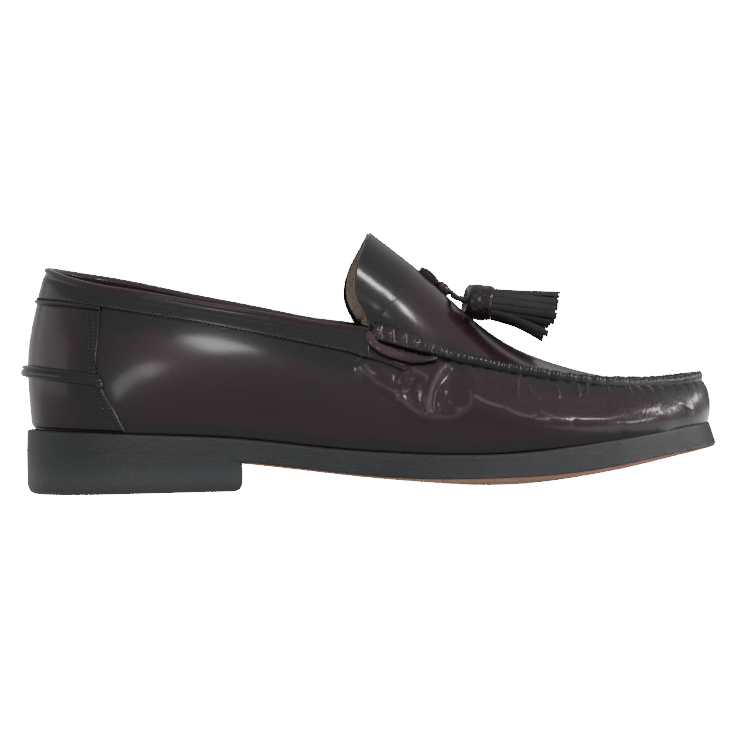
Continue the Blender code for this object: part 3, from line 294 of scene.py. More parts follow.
# White cards that only the polish shows: name, glow, and (along, across, z) corners
CARDS = (
    ("quarter_card", 12.0, (
        (58.0, -150.0, 100.0), (73.0, -150.0, 98.0), (96.0, -150.0, 86.0), (73.0, -150.0, 80.0))),
    ("heel_side_card", 2.4, (
        (46.0, -150.0, 77.0), (56.0, -150.0, 70.0), (22.0, -150.0, 24.0), (13.0, -150.0, 49.0))),
    ("heel_side_strip", 6.0, (
        (42.0, -150.0, 74.0), (51.0, -150.0, 70.0), (52.0, -150.0, 57.0), (44.0, -150.0, 60.0))),
    ("collar_card", 3.0, (
        (30.0, -300.0, 330.0), (150.0, -300.0, 308.0), (150.0, -290.0, 322.0), (30.0, -290.0, 344.0))),
    ("back_card", 0.46, (
        (-5000.0, 2500.0, -500.0), (250.0, 2500.0, -500.0), (250.0, 2500.0, 700.0), (-5000.0, 2500.0, 700.0))),
    ("back_toe_card", 0.02, (
        (250.0, 2500.0, -500.0), (5000.0, 2500.0, -500.0), (5000.0, 2500.0, 900.0), (250.0, 2500.0, 900.0))),
    ("vamp_card", 4.5, (
        (268.0, -354.0, 158.0), (356.0, -342.0, 162.0), (356.0, -338.0, 188.0), (268.0, -348.0, 184.0))),
    ("toe_line_card", 7.0, (
        (366.0, -166.0, 46.0), (416.0, -108.0, 56.0), (414.0, -108.0, 86.0), (362.0, -162.0, 80.0))),
    ("toe_fleck_card", 16.0, (
        (392.0, -84.0, 150.0), (418.0, -36.0, 150.0), (408.0, -38.0, 182.0), (388.0, -78.0, 184.0))),
    ("toe_tip_card", 13.0, (
        (451.0, 6.0, 84.0), (451.0, 56.0, 88.0), (451.0, 56.0, 116.0), (451.0, 6.0, 112.0))),
    ("toe_card", 0.40, (
        (1500.0, -800.0, 0.0), (1500.0, 1200.0, 0.0), (1500.0, 1200.0, 950.0), (1500.0, -800.0, 950.0))),
    ("heel_card", 0.76, (
        (-1500.0, -900.0, -50.0), (-1500.0, 1200.0, -50.0), (-1500.0, 1200.0, 750.0), (-1500.0, -900.0, 750.0))),
    ("toe_floor_card", 1.1, (
        (500.0, -2000.0, -100.0), (4000.0, -2000.0, -100.0), (4000.0, 2400.0, -100.0), (400.0, 2400.0, -100.0))),
)


def lengths_along(points):
    """Distance of each point of a line from its first one, along the line."""
    return np.concatenate([[0.0], np.cumsum(np.linalg.norm(np.diff(points, axis=0), axis=1))])


def cubic_spline(knots, values, closed):
    """A smooth curve through the values at the knots, natural at its ends or closed on itself."""
    knots = np.asarray(knots, float)
    values = np.asarray(values, float)
    count = len(knots) - 1
    step = np.diff(knots)
    slope = np.diff(values, axis=0) / step[:, None]
    size = count if closed else count + 1
    system = np.zeros((size, size))
    right = np.zeros((size, values.shape[1]))
    for k in range(size):
        if not closed and k in (0, count):
            system[k, k] = 1.0
            continue
        before = step[k - 1]
        after = step[k % count]
        system[k, (k - 1) % size] += before
        system[k, k] += 2 * (before + after)
        system[k, (k + 1) % size] += after
        right[k] = 6 * (slope[k % count] - slope[k - 1])
    bend = np.linalg.solve(system, right)
    if closed:
        bend = np.vstack([bend, bend[:1]])

    def at(u):
        u = np.asarray(u, float)
        if closed:
            u = knots[0] + (u - knots[0]) % (knots[-1] - knots[0])
        k = np.clip(np.searchsorted(knots, u, side="right") - 1, 0, count - 1)
        h = step[k][..., None]
        a = (knots[k + 1] - u)[..., None] / h
        b = (u - knots[k])[..., None] / h
        return (
            a * values[k] + b * values[k + 1]
            + ((a**3 - a) * bend[k] + (b**3 - b) * bend[k + 1]) * h * h / 6
        )

    return at


def curve_through(points, count):
    """A number of points on the smooth curve through some others."""
    knots = lengths_along(points)
    return cubic_spline(knots, points, closed=False)(np.linspace(0, knots[-1], count))


def column(name):
    return np.array([row[SECTION_COLUMNS.index(name)] for row in SECTIONS], float)


def station_at(along):
    """Number of the section at a distance along the sole, where 2.5 is half way between sections 2 and 3."""
    return np.interp(along, column("sole_along"), np.arange(TOE + 1))


def side_rows(side):
    rise = column("inner_rise") if side == "inner" else 0 * column("inner_rise")
    return np.column_stack([
        column("sole_along"), column("sole_" + side), column("slant"), column("ledge"),
        column("belly_" + side), column("belly_up"), column("brow_out"), column("brow_drop"),
        column("top_along"), column("top_" + side), column("top_z") + rise,
    ])


OUTER_ROWS = side_rows("outer")
RING_ROWS = np.vstack([OUTER_ROWS, side_rows("inner")[-2:0:-1], OUTER_ROWS[:1]])
RING_KNOTS = lengths_along(RING_ROWS[:, :2])
RING_STATIONS = np.concatenate([np.arange(TOE + 1), np.arange(TOE - 1, -1, -1)]).astype(float)
RING_LENGTH = RING_KNOTS[-1]
TOE_PLACE = RING_KNOTS[TOE]
ring = cubic_spline(RING_KNOTS, RING_ROWS, closed=True)
crown_spline = cubic_spline(
    RING_KNOTS[THROAT: TOE + 1], np.column_stack([column("crown_along"), column("crown_z")])[THROAT:],
    closed=False,
)
SOLE_TABLE = np.array(SOLE_PROFILE)
sole_spline = cubic_spline(SOLE_TABLE[:, 0], SOLE_TABLE[:, 1:], closed=False)
TONGUE_TABLE = np.array(TONGUE_ROWS)


def unit(vectors):
    return vectors / np.maximum(np.linalg.norm(vectors, axis=-1, keepdims=True), 1e-9)


def dot(a, b):
    return np.sum(a * b, axis=-1, keepdims=True)


def facing(directions, guide):
    """Directions, turned round where they point away from the guide."""
    return directions * np.where(dot(directions, guide) < 0, -1.0, 1.0)


def smooth(low, high, x):
    """0 below low and 1 above high, with a soft change between."""
    share = np.clip((np.asarray(x, float) - low) / (high - low), 0, 1)
    return share * share * (3 - 2 * share)


def bell(distance, half_width):
    return np.exp(-((distance / half_width) ** 2))


def sole_z(along, name):
    return sole_spline(along)[..., SOLE_COLUMNS.index(name) - 1]


def ring_place(station, side):
    """Place of a section on one side."""
    half = slice(0, TOE + 1) if side == "outer" else slice(TOE, None)
    stations = RING_STATIONS[half]
    knots = RING_KNOTS[half]
    if side == "inner":
        stations, knots = stations[::-1], knots[::-1]
    return np.interp(station, stations, knots)


def station_of(place):
    return np.interp(np.asarray(place, float) % RING_LENGTH, RING_KNOTS, RING_STATIONS)


def outward(place):
    """Direction that points away from the shoe, level with the floor."""
    tiny = 0.05
    ahead = ring(place + tiny)[..., :2] - ring(place - tiny)[..., :2]
    return unit(np.stack([ahead[..., 1], -ahead[..., 0], 0 * ahead[..., 0]], -1))


def wall_at(place, t):
    """Point of the upper's outside: t is 0 at the foot of the wall and 1 at its top."""
    place, t = np.broadcast_arrays(np.asarray(place, float), np.asarray(t, float))
    row = ring(place)
    out = outward(place)
    foot = np.stack([row[..., 0], row[..., 1], 0 * row[..., 0]], -1) - out * (row[..., 2:3] + row[..., 3:4])
    foot[..., 2] = sole_z(foot[..., 0], "top_z") + GAP
    top = row[..., 8:11]
    height = top[..., 2] - foot[..., 2]
    low = foot + out * row[..., 4:5]
    low[..., 2] += row[..., 5] * height
    high = top + out * row[..., 6:7]
    high[..., 2] -= row[..., 7] * height
    t = t[..., None]
    s = 1 - t
    return s**3 * foot + 3 * s * s * t * low + 3 * s * t * t * high + t**3 * top


def wall_normal(place, t):
    place, t = np.broadcast_arrays(np.asarray(place, float), np.asarray(t, float))
    tiny = 0.05
    round_it = wall_at(place + tiny, t) - wall_at(place - tiny, t)
    up_it = wall_at(place, np.minimum(t + 0.004, 1)) - wall_at(place, np.maximum(t - 0.004, 0))
    return facing(unit(np.cross(round_it, up_it)), outward(place))


def off_wall(place, t, distance):
    """Point at a distance outside the wall."""
    return wall_at(place, t) + wall_normal(place, t) * distance


def search_t(place, below):
    """The wall's t where a test of its points changes from true to false."""
    low = np.zeros_like(place)
    high = np.ones_like(place)
    for _ in range(24):
        middle = (low + high) / 2
        found = below(wall_at(place, middle))
        low, high = np.where(found, middle, low), np.where(found, high, middle)
    return (low + high) / 2


def t_at_drop(place, drop):
    """The wall's t at a distance below its top."""
    place = np.asarray(place, float)
    top = wall_at(place, 1.0)
    return search_t(place, lambda p: np.linalg.norm(p - top, axis=-1) > drop)


def t_at_z(place, z_of):
    """The wall's t at a height that depends on how far along it is."""
    return search_t(np.asarray(place, float), lambda p: p[..., 2] < z_of(p[..., 0]))


def find_on_wall(along, z, side):
    """Where the wall passes points seen from the side, as (place, t)."""
    along, z = np.asarray(along, float), np.asarray(z, float)
    place = ring_place(station_at(along), side)
    t = 0.5 + 0 * place
    for _ in range(40):
        here = wall_at(place, t)
        by_place = (wall_at(place + 0.05, t) - here) / 0.05
        by_t = (wall_at(place, t + 0.001) - here) / 0.001
        size = by_place[..., 0] * by_t[..., 2] - by_t[..., 0] * by_place[..., 2]
        miss_x, miss_z = along - here[..., 0], z - here[..., 2]
        place = place + np.clip((miss_x * by_t[..., 2] - by_t[..., 0] * miss_z) / size, -8, 8)
        t = np.clip(t + np.clip((by_place[..., 0] * miss_z - miss_x * by_place[..., 2]) / size, -0.2, 0.2), 0, 0.999)
    return place, t


def half_arch(crown, edge, share):
    """Points on the arch that falls from the crown line to one edge, as a circle would."""
    fall = edge - crown
    width = np.abs(fall[..., 1])
    fall = fall * np.array([1.0, 0.0, 1.0])
    angle = np.maximum(2 * np.arctan2(np.hypot(fall[..., 0], fall[..., 2]), width), 0.05)
    point = crown + fall * ((1 - np.cos(share * angle)) / (1 - np.cos(angle)))[..., None]
    point[..., 1] = crown[..., 1] + (edge - crown)[..., 1] * np.sin(share * angle) / np.sin(angle)
    return point


def apron_at(station, w):
    """Point across the apron: w is -1 at the outer seam, 0 on the crown and 1 at the inner seam."""
    station, w = np.broadcast_arrays(np.asarray(station, float), np.asarray(w, float))
    outer_place = ring_place(station, "outer")
    outer_edge, inner_edge = wall_at(outer_place, 1.0), wall_at(ring_place(station, "inner"), 1.0)
    crown = crown_spline(outer_place)
    crown = np.stack([crown[..., 0], (outer_edge[..., 1] + inner_edge[..., 1]) / 2, crown[..., 1]], -1)
    edge = np.where((w < 0)[..., None], outer_edge, inner_edge)
    return half_arch(crown, edge, np.abs(w))


def tongue_at(from_tip, w):
    """Point of the tongue: its arch keeps the throat's radius, and its angles shrink to the tip."""
    from_tip, w = np.broadcast_arrays(np.asarray(from_tip, float), np.asarray(w, float))
    throat = apron_at(THROAT, 0.0)
    tip = np.array([TONGUE_TIP[0], throat[1], TONGUE_TIP[1]])
    length = np.linalg.norm(throat - tip)
    crown = tip + (throat - tip) / length * from_tip[..., None]
    edges = wall_at(ring_place(THROAT, "outer"), 1.0), wall_at(ring_place(THROAT, "inner"), 1.0)
    made = []
    root = np.sqrt(np.minimum(from_tip, TONGUE_TABLE[-1, 0]))
    beyond = np.maximum(from_tip - TONGUE_TABLE[-1, 0], 0)
    for edge, angles in zip(edges, (TONGUE_TABLE[:, 1], TONGUE_TABLE[:, 2])):
        fall = (edge - throat) * np.array([1.0, 0.0, 1.0])
        drop = np.linalg.norm(fall)
        width = abs(edge[1] - throat[1])
        radius = (width**2 + drop**2) / (2 * drop)
        by_root = cubic_spline(np.sqrt(TONGUE_TABLE[:, 0]), angles[:, None], closed=False)
        turn = np.abs(w) * np.radians(by_root(root)[..., 0] + 0.8 * beyond)
        point = crown + (fall / drop) * (radius * (1 - np.cos(turn)))[..., None]
        point[..., 1] = crown[..., 1] + math.copysign(1, edge[1]) * radius * np.sin(turn)
        made.append(point)
    point = np.where((w < 0)[..., None], made[0], made[1])
    join = smooth(TONGUE_TABLE[-1, 0], length, from_tip)[..., None]
    return point * (1 - join) + apron_at(THROAT, w) * join


def tongue_length():
    throat = apron_at(THROAT, 0.0)
    return math.hypot(throat[0] - TONGUE_TIP[0], throat[2] - TONGUE_TIP[1])


def grid_normals(points):
    """Normals of a grid of points, by its neighbours."""
    return unit(np.cross(np.gradient(points, axis=1), np.gradient(points, axis=0)))


def line_distance(along, z, line):
    """Distance of each point to a line drawn on the side view."""
    best = np.full(np.shape(along), 1e9)
    for (ax, az), (bx, bz) in zip(line, line[1:]):
        dx, dz = bx - ax, bz - az
        share = np.clip(((along - ax) * dx + (z - az) * dz) / (dx * dx + dz * dz), 0, 1)
        best = np.minimum(best, np.hypot(along - ax - share * dx, z - az - share * dz))
    return best


def softened(line):
    """A line's points on a smooth curve, closer together."""
    return curve_through(line, 4 * len(line)) if len(line) > 2 else np.array(line)


def route_points(points, spacing):
    """Evenly spaced points on the smooth curve through a route's own points."""
    return spaced(curve_through(points, 40 * len(points)), spacing)


def spaced(points, spacing):
    """Points at even distances along a dense line."""
    lengths = lengths_along(points)
    count = max(int(round(lengths[-1] / spacing)), 2)
    return between_rows(np.linspace(0, lengths[-1], count + 1), lengths, points)


def uneven(n, seed):
    """A repeatable number from -1 to 1 for each whole number."""
    n = np.asarray(n, float)
    return np.sin(n * 12.9898 + seed * 4.1414) * np.cos(n * 7.233 + seed)


class Piece:
    """Gathers grids of points in millimetres, and makes one mesh object of them."""

    def __init__(self):
        self.points = []
        self.faces = []
        self.shades = []
        self.count = 0

    def grid(self, points, closed=False, shade=0.0):
        """Faces between neighbouring rows of points. A closed grid joins each row's ends."""
        points = np.asarray(points, float)
        rows, columns = points.shape[:2]
        ids = self.count + np.arange(rows * columns).reshape(rows, columns)
        if closed:
            ids = np.concatenate([ids, ids[:, :1]], 1)
        quads = np.stack([ids[:-1, :-1], ids[:-1, 1:], ids[1:, 1:], ids[1:, :-1]], -1).reshape(-1, 4)
        self.faces += quads.tolist()
        self.points.append(points.reshape(-1, 3))
        self.shades.append(np.broadcast_to(np.asarray(shade, float), (rows, columns)).reshape(-1))
        self.count += rows * columns
        return ids

    def tube(self, loops, shade=0.0):
        """A closed solid through loops of points, with a face over each end."""
        ids = self.grid(loops, closed=True, shade=shade)
        self.faces.append(ids[0, -2::-1].tolist())
        self.faces.append(ids[-1, :-1].tolist())

    def make(self, name, slot, replaced=(), look=None, inside=None, turned_in=False, sharp=None):
        """One object of all the grids, in the slot's finish or another look. Its faces look away from the inside."""
        points = np.concatenate(self.points)
        points = (points - np.array([HEEL_CENTRE, 0, 0])) * MM
        mesh = bpy.data.meshes.new(name)
        mesh.from_pydata(points.tolist(), [], self.faces)
        tone_and_painted_light = mesh.attributes.new("tone_and_painted_light", "FLOAT", "POINT")
        tone_and_painted_light.data.foreach_set("value", np.concatenate(self.shades).astype(np.float32))
        build = bmesh.new()
        build.from_mesh(mesh)
        bmesh.ops.remove_doubles(build, verts=build.verts, dist=1e-6)
        bmesh.ops.dissolve_degenerate(build, edges=build.edges, dist=1e-7)
        bmesh.ops.recalc_face_normals(build, faces=build.faces)
        if inside is not None:
            middle = (Vector(inside) - Vector((HEEL_CENTRE, 0, 0))) * MM
            facing = sum(f.normal.dot(f.calc_center_median() - middle) * f.calc_area() for f in build.faces)
            if (facing < 0) != turned_in:
                bmesh.ops.reverse_faces(build, faces=build.faces)
        build.to_mesh(mesh)
        build.free()
        mesh.materials.append(finish(look or SLOT_FINISH[slot]))
        mesh.shade_smooth()
        if sharp:
            mesh.set_sharp_from_angle(angle=math.radians(sharp))
        return placed(linked(name, mesh), replaced)


def linked(name, data):
    """A new object in the scene."""
    made = bpy.data.objects.new(name, data)
    bpy.context.scene.collection.objects.link(made)
    return made


def placed(made, replaced=()):
    """Makes a piece move with the shoe, and stands it for CAD nodes, which it hides."""
    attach(made, "root")
    if replaced:
        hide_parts(*replaced)
    return made


def full_turn(count):
    """Angles evenly round a circle."""
    return 2 * np.pi * np.arange(count) / count


def round_loops(path, normals, wide, high, sides=10, lift=0.0):
    """Oval loops round a path that lies on a surface with these normals."""
    path = np.asarray(path, float)
    ahead = unit(np.gradient(path, axis=0))
    across = unit(np.cross(ahead, normals))
    up = np.cross(across, ahead)
    turn = full_turn(sides)
    wide = np.broadcast_to(np.asarray(wide, float), len(path))[:, None, None]
    high = np.broadcast_to(np.asarray(high, float), len(path))[:, None, None]
    return (
        path[:, None] + lift * up[:, None]
        + wide * np.cos(turn)[None, :, None] * across[:, None]
        + high * np.sin(turn)[None, :, None] * up[:, None]
    )


def thread(piece, path, normals, radius, sides=6):
    """One stitch: a strand along a short path, thin at its ends."""
    share = np.linspace(0, 1, len(path))
    fullness = np.clip(np.sin(np.pi * share), 0.02, 1) ** 0.35
    piece.tube(round_loops(path, normals, radius * fullness, radius * fullness, sides))


def between_rows(at, lengths, rows):
    """Rows read off a table by their length along a line."""
    return np.column_stack([np.interp(at, lengths, rows[:, k]) for k in range(3)])


def stitch_row(piece, path, normals, length, gap, radius, sink=0.35):
    """Stitches along a dense path on a surface, which dip into it at their ends."""
    lengths = lengths_along(path)
    share = np.linspace(0, 1, 5)
    rise = np.sin(np.pi * share)[:, None]
    start = gap / 2
    while start + length < lengths[-1]:
        at = start + length * share
        normal = unit(between_rows(at, lengths, normals))
        points = between_rows(at, lengths, path) + normal * radius * (rise * (1 + sink) - sink * 1.4)
        thread(piece, points, normal, radius)
        start += length + gap


class Value:
    """A shader's value, which Python's own arithmetic works on."""

    def __init__(self, shader, socket):
        self.shader = shader
        self.socket = socket

    def math(self, operation, a, b=0.0):
        return self.shader.node("ShaderNodeMath", {"operation": operation}, {0: a, 1: b})

    def __add__(self, other):
        return self.math("ADD", self, other)

    def __radd__(self, other):
        return self.math("ADD", other, self)

    def __sub__(self, other):
        return self.math("SUBTRACT", self, other)

    def __rsub__(self, other):
        return self.math("SUBTRACT", other, self)

    def __mul__(self, other):
        return self.math("MULTIPLY", self, other)

    def __rmul__(self, other):
        return self.math("MULTIPLY", other, self)


class Shader:
    """A new material: its maths is written with values, and its other nodes come from node()."""

    def __init__(self, name):
        self.material = bpy.data.materials.new(name)
        self.material.use_nodes = True
        self.tree = self.material.node_tree
        self.surface = self.tree.nodes["Principled BSDF"]
        self.place = self.node("ShaderNodeTexCoord", out="Object")

    def node(self, kind, settings=None, inputs=None, out=0):
        made = self.tree.nodes.new(kind)
        for name, value in (settings or {}).items():
            setattr(made, name, value)
        for name, value in (inputs or {}).items():
            self.put(made.inputs[name], value)
        return Value(self, made.outputs[out])

    def put(self, socket, value):
        if isinstance(value, Value):
            self.tree.links.new(value.socket, socket)
        else:
            socket.default_value = value

    def set(self, **values):
        for name, value in values.items():
            self.put(self.surface.inputs[name.replace("_", " ")], value)
        return self

    def mix(self, factor, a, b):
        """A colour between two others."""
        a, b = (c if isinstance(c, Value) else (*c, 1.0) for c in (a, b))
        return self.node("ShaderNodeMix", {"data_type": "RGBA"}, {0: factor, 6: a, 7: b}, out=2)

    def step(self, value, low, high):
        """0 below low and 1 above high."""
        inputs = {"Value": value, "From Min": low, "From Max": high}
        return self.node("ShaderNodeMapRange", {"interpolation_type": "SMOOTHSTEP"}, inputs)

    def stretched(self, along, across, up):
        """The object's own coordinates, in metres, times a number on each axis."""
        return self.node("ShaderNodeVectorMath", {"operation": "MULTIPLY"}, {0: self.place, 1: (along, across, up)})

    def noise(self, scale, detail=2.0, roughness=0.5, where=None):
        inputs = {"Vector": where or self.place, "Scale": scale, "Detail": detail, "Roughness": roughness}
        return self.node("ShaderNodeTexNoise", None, inputs, out="Fac")

    def cells(self, scale):
        return self.node("ShaderNodeTexVoronoi", None, {"Vector": self.place, "Scale": scale}, out="Distance")

    def tone_and_painted_light(self):
        return self.node("ShaderNodeAttribute", {"attribute_name": "tone_and_painted_light"}, out="Fac")

    def bump(self, height, distance):
        return self.node("ShaderNodeBump", None, {"Height": height, "Distance": distance, "Strength": 1.0})


def scaled(colour, share):
    """A colour made darker or lighter."""
    return tuple(share * c for c in colour)


def polished_leather(name, light, dark, gloss, grain=1.0, coat=0.85):
    """Box leather polished over a dark finish: the light colour shows where it was brushed off."""
    look = Shader(name)
    cloud = look.noise(38.0, 4.0, 0.6)
    fine = look.noise(900.0, 3.0, 0.6)
    pores = look.cells(1500.0)
    wrinkle = look.noise(260.0, 4.0, 0.65, look.stretched(1.0, 1.0, 0.35))
    rubbed = look.step(look.tone_and_painted_light() + 0.5 * (cloud - 0.5), 0.05, 0.95)
    streak = look.noise(120.0, 3.0, 0.6, look.stretched(0.4, 0.4, 2.0))
    # Below zero the attribute paints a lighter, pinker colour: painted highlight with rubbed wear on the fold crests,
    # painted highlight on the ears, painted light on the collar band's inside, and a lighter knot
    worn_and_painted_highlight = look.step(0.0 - look.tone_and_painted_light() + 0.5 * (streak - 0.5), 0.05, 1.0)
    painted_highlight_and_wear_colour = tuple(2.0 * c + 0.045 for c in light)
    brushed = look.mix(look.step(streak, 0.3, 0.75), light, scaled(light, 0.8))
    colour = look.mix(worn_and_painted_highlight, look.mix(rubbed, brushed, dark), painted_highlight_and_wear_colour)
    height = 0.25 * pores + 0.35 * fine + 0.6 * wrinkle
    look.set(
        Base_Color=colour,
        Roughness=gloss + 0.10 * (fine - 0.5) + 0.10 * (cloud - 0.5) + 0.1 * worn_and_painted_highlight,
        Coat_Weight=coat * (1.0 + 0.24 * (cloud - 0.5) - 0.5 * worn_and_painted_highlight),
        Normal=look.bump(height, 0.000012 * grain),
        Coat_Roughness=0.15,
        Specular_IOR_Level=0.12 + 0.2 * coat,
    )
    return look.material


def lining_leather(name, light, dark):
    """Uncoated leather, matt, with soft grain and rubbed patches."""
    look = Shader(name)
    cloud = look.noise(70.0, 4.0, 0.6)
    grain = look.cells(900.0)
    colour = look.mix(look.step(cloud + 0.6 * look.tone_and_painted_light(), 0.35, 0.9), light, dark)
    look.set(
        Base_Color=colour, Roughness=0.62 + 0.15 * (cloud - 0.5),
        Normal=look.bump(0.7 * grain + 0.4 * look.noise(1400.0), 0.00012),
    )
    return look.material


def brushed_edge(name, light, dark):
    """Sole edge: black edge dressing over leather fibres that were brushed along the edge."""
    look = Shader(name)
    lines = look.noise(1.0, 4.0, 0.7, look.stretched(25.0, 25.0, 2600.0))
    cloud = look.noise(30.0, 3.0, 0.6)
    colour = look.mix(look.step(0.6 * lines + 0.4 * cloud, 0.3, 0.75), dark, light)
    # The attribute makes the edge lighter: towards the heel's foot and back, and along the sole's forepart
    colour = look.mix(look.step(look.tone_and_painted_light(), 0.0, 1.0), colour, scaled(light, 2.2))
    look.set(
        Base_Color=colour, Roughness=0.42 + 0.16 * (lines - 0.5) + 0.1 * (cloud - 0.5),
        Normal=look.bump(lines, 0.00012),
    )
    return look.material


def tread_leather(name, light, dark):
    """Sole leather: tan, with faint fibre and scuff marks."""
    look = Shader(name)
    cloud = look.noise(55.0, 5.0, 0.65)
    scuff = look.noise(14.0, 5.0, 0.7, look.stretched(3.0, 24.0, 3.0))
    colour = look.mix(look.step(0.5 * cloud + 0.5 * scuff, 0.32, 0.72), light, dark)
    look.set(
        Base_Color=colour, Roughness=0.5 + 0.2 * (scuff - 0.5),
        Normal=look.bump(0.6 * look.noise(1100.0, 3.0) + 0.6 * scuff, 0.0001), Specular_IOR_Level=0.2,
    )
    return look.material


def waxed_thread(name, light, dark):
    """Twisted thread: fine slanting strands under wax."""
    look = Shader(name)
    strands = look.noise(1.0, 2.0, 0.5, look.stretched(1700.0, 900.0, 1700.0))
    colour = look.mix(look.step(strands, 0.3, 0.7), dark, light)
    look.set(Base_Color=colour, Roughness=0.38 + 0.2 * strands, Normal=look.bump(strands, 0.00012))
    return look.material


def colour(name, description, default):
    """A colour for the panel."""
    return bpy.props.FloatVectorProperty(
        name=name, description=description, subtype="COLOR", size=3, min=0.0, max=1.0, default=default)


class LoaferColours(bpy.types.PropertyGroup):
    """Colours of the leathers, edges and threads."""

    burgundy: colour("Burgundy", "Leather where the dark finish is brushed off", (0.026, 0.0085, 0.0125))
    burnished: colour("Burnished", "Leather near seams and edges", (0.0075, 0.0068, 0.0070))
    tassel: colour("Tassel", "Leather of the tassels and their thong", (0.058, 0.053, 0.055))
    sole_edge: colour("Sole edge", "Dressing on the edge of the sole and heel", (0.035, 0.0375, 0.0395))
    tread: colour("Tread", "Leather under the sole", (0.40, 0.215, 0.155))
    lining: colour("Lining", "Leather inside the shoe", (0.52, 0.43, 0.34))
    thread: colour("Thread", "Waxed thread of the apron seam", (0.16, 0.155, 0.150))


def length(name, description, low, high, default):
    """A length in metres for the panel."""
    return bpy.props.FloatProperty(
        name=name, description=description, unit="LENGTH", min=low, max=high, default=default)


def factor(name, description, low, high, default):
    """A share for the panel."""
    return bpy.props.FloatProperty(
        name=name, description=description, subtype="FACTOR", min=low, max=high, default=default)


class LoaferSizes(bpy.types.PropertyGroup):
    """Sizes of what the scene adds to the frame."""

    fold_depth: factor("Fold depth", "How deep the walking folds are, as a share", 0.0, 2.0, 1.15)
    gather_pitch: length("Gather pitch", "Distance between stitches of the apron seam", 0.003, 0.010, 0.0056)
    gather_depth: length("Gather depth", "How far the vamp sinks at each stitch", 0.0, 0.0015, 0.00055)
    seam_thread: length("Seam thread", "Radius of the apron seam's thread", 0.0002, 0.001, 0.00042)
    edge_thread: length("Edge thread", "Radius of the thread along the panels' edges", 0.0001, 0.0006, 0.00026)
    polish: factor("Polish", "Roughness of the polished leather", 0.05, 0.8, 0.36)


def sizes():
    return bpy.context.scene.loafer_sizes


def finish(name):
    """A finish's material, made once: its maker, light colour, dark colour and the maker's other values."""
    look = bpy.context.scene.loafer_colours
    make, light, dark, more = {
        "polished_burgundy": (polished_leather, look.burgundy, look.burnished, {"gloss": sizes().polish}),
        "polished_tassel": (
            polished_leather, look.tassel, scaled(look.burnished, 3.0), {"gloss": 0.46, "grain": 4.0, "coat": 0.0}),
        "dressed_edge": (brushed_edge, look.sole_edge, scaled(look.sole_edge, 0.55), {}),
        "sole_tread": (tread_leather, look.tread, scaled(look.tread, 0.7), {}),
        "soft_lining": (lining_leather, look.lining, scaled(look.lining, 0.55), {}),
        "edge_thread": (waxed_thread, scaled(look.thread, 0.4), scaled(look.thread, 0.12), {}),
        "waxed_thread": (waxed_thread, look.thread, scaled(look.thread, 0.35), {}),
    }[name]
    return bpy.data.materials.get(name) or make(name, tuple(light), tuple(dark), **more)


def seam_line():
    """Places and distances along the apron seam, from the outer throat to the inner one."""
    place = np.linspace(ring_place(THROAT, "outer"), ring_place(THROAT, "inner"), SEAM_COLUMNS)
    return place, lengths_along(wall_at(place, 1.0))


def seam_frame(place):
    """At the apron seam: its point, and directions down the wall, over the apron and out from both."""
    here = wall_at(place, 1.0)
    station = np.minimum(station_of(place), TOE - 0.35)
    inner = place > TOE_PLACE
    w = np.where(inner, 0.9, -0.9)
    outer_edge, inner_edge = (wall_at(ring_place(station, side), 1.0) for side in SIDES)
    edge = np.where(inner[:, None], inner_edge, outer_edge)
    apron_way = unit(apron_at(station, w) - edge)
    toe = smooth(TOE - 0.8, TOE, station_of(place))[:, None]
    apron_way = apron_way * (1 - toe) - outward(place) * toe
    wall_way = unit(wall_at(place, 0.93) - here)
    ahead = unit(wall_at(place + 0.5, 1.0) - wall_at(place - 0.5, 1.0))
    wall_way = unit(wall_way - ahead * dot(wall_way, ahead))
    apron_way = unit(apron_way - ahead * dot(apron_way, ahead))
    lift = unit(np.cross(ahead, wall_way) - np.cross(ahead, apron_way))
    return here, wall_way, apron_way, facing(lift, wall_normal(place, 0.95) + np.array([0, 0, 0.5]))


def throat_share(from_throat):
    """1 at the throat and 0 where the seam has its plain size."""
    return 1 - smooth(14.0, 40.0, from_throat)


def gather_phase(length):
    """Where a point of the seam lies between two stitches, from 0 to 1, and the number of its gather."""
    pitch = sizes().gather_pitch / MM
    turns = length / pitch + 0.12 * np.sin(length / 9.0)
    return turns % 1.0, np.floor(turns)


def fold_relief(points, side):
    """Height of the walking folds over the plain wall, from the side view's lines, and where their crests are."""
    ridge, trough, crest = np.zeros((3, *points.shape[:-1]))
    for row_side, rise, half_width, line in FOLDS:
        if row_side != side:
            continue
        height = rise * bell(line_distance(points[..., 0], points[..., 2], softened(line)), half_width)
        ridge = np.hypot(ridge, np.maximum(height, 0))
        trough = np.minimum(trough, height)
        if half_width < CREST_WIDTH:
            crest = np.maximum(crest, height)
    return (ridge + trough) * sizes().fold_depth, crest


def band_low_z(along):
    return np.interp(along, *zip(*BAND_LOW))


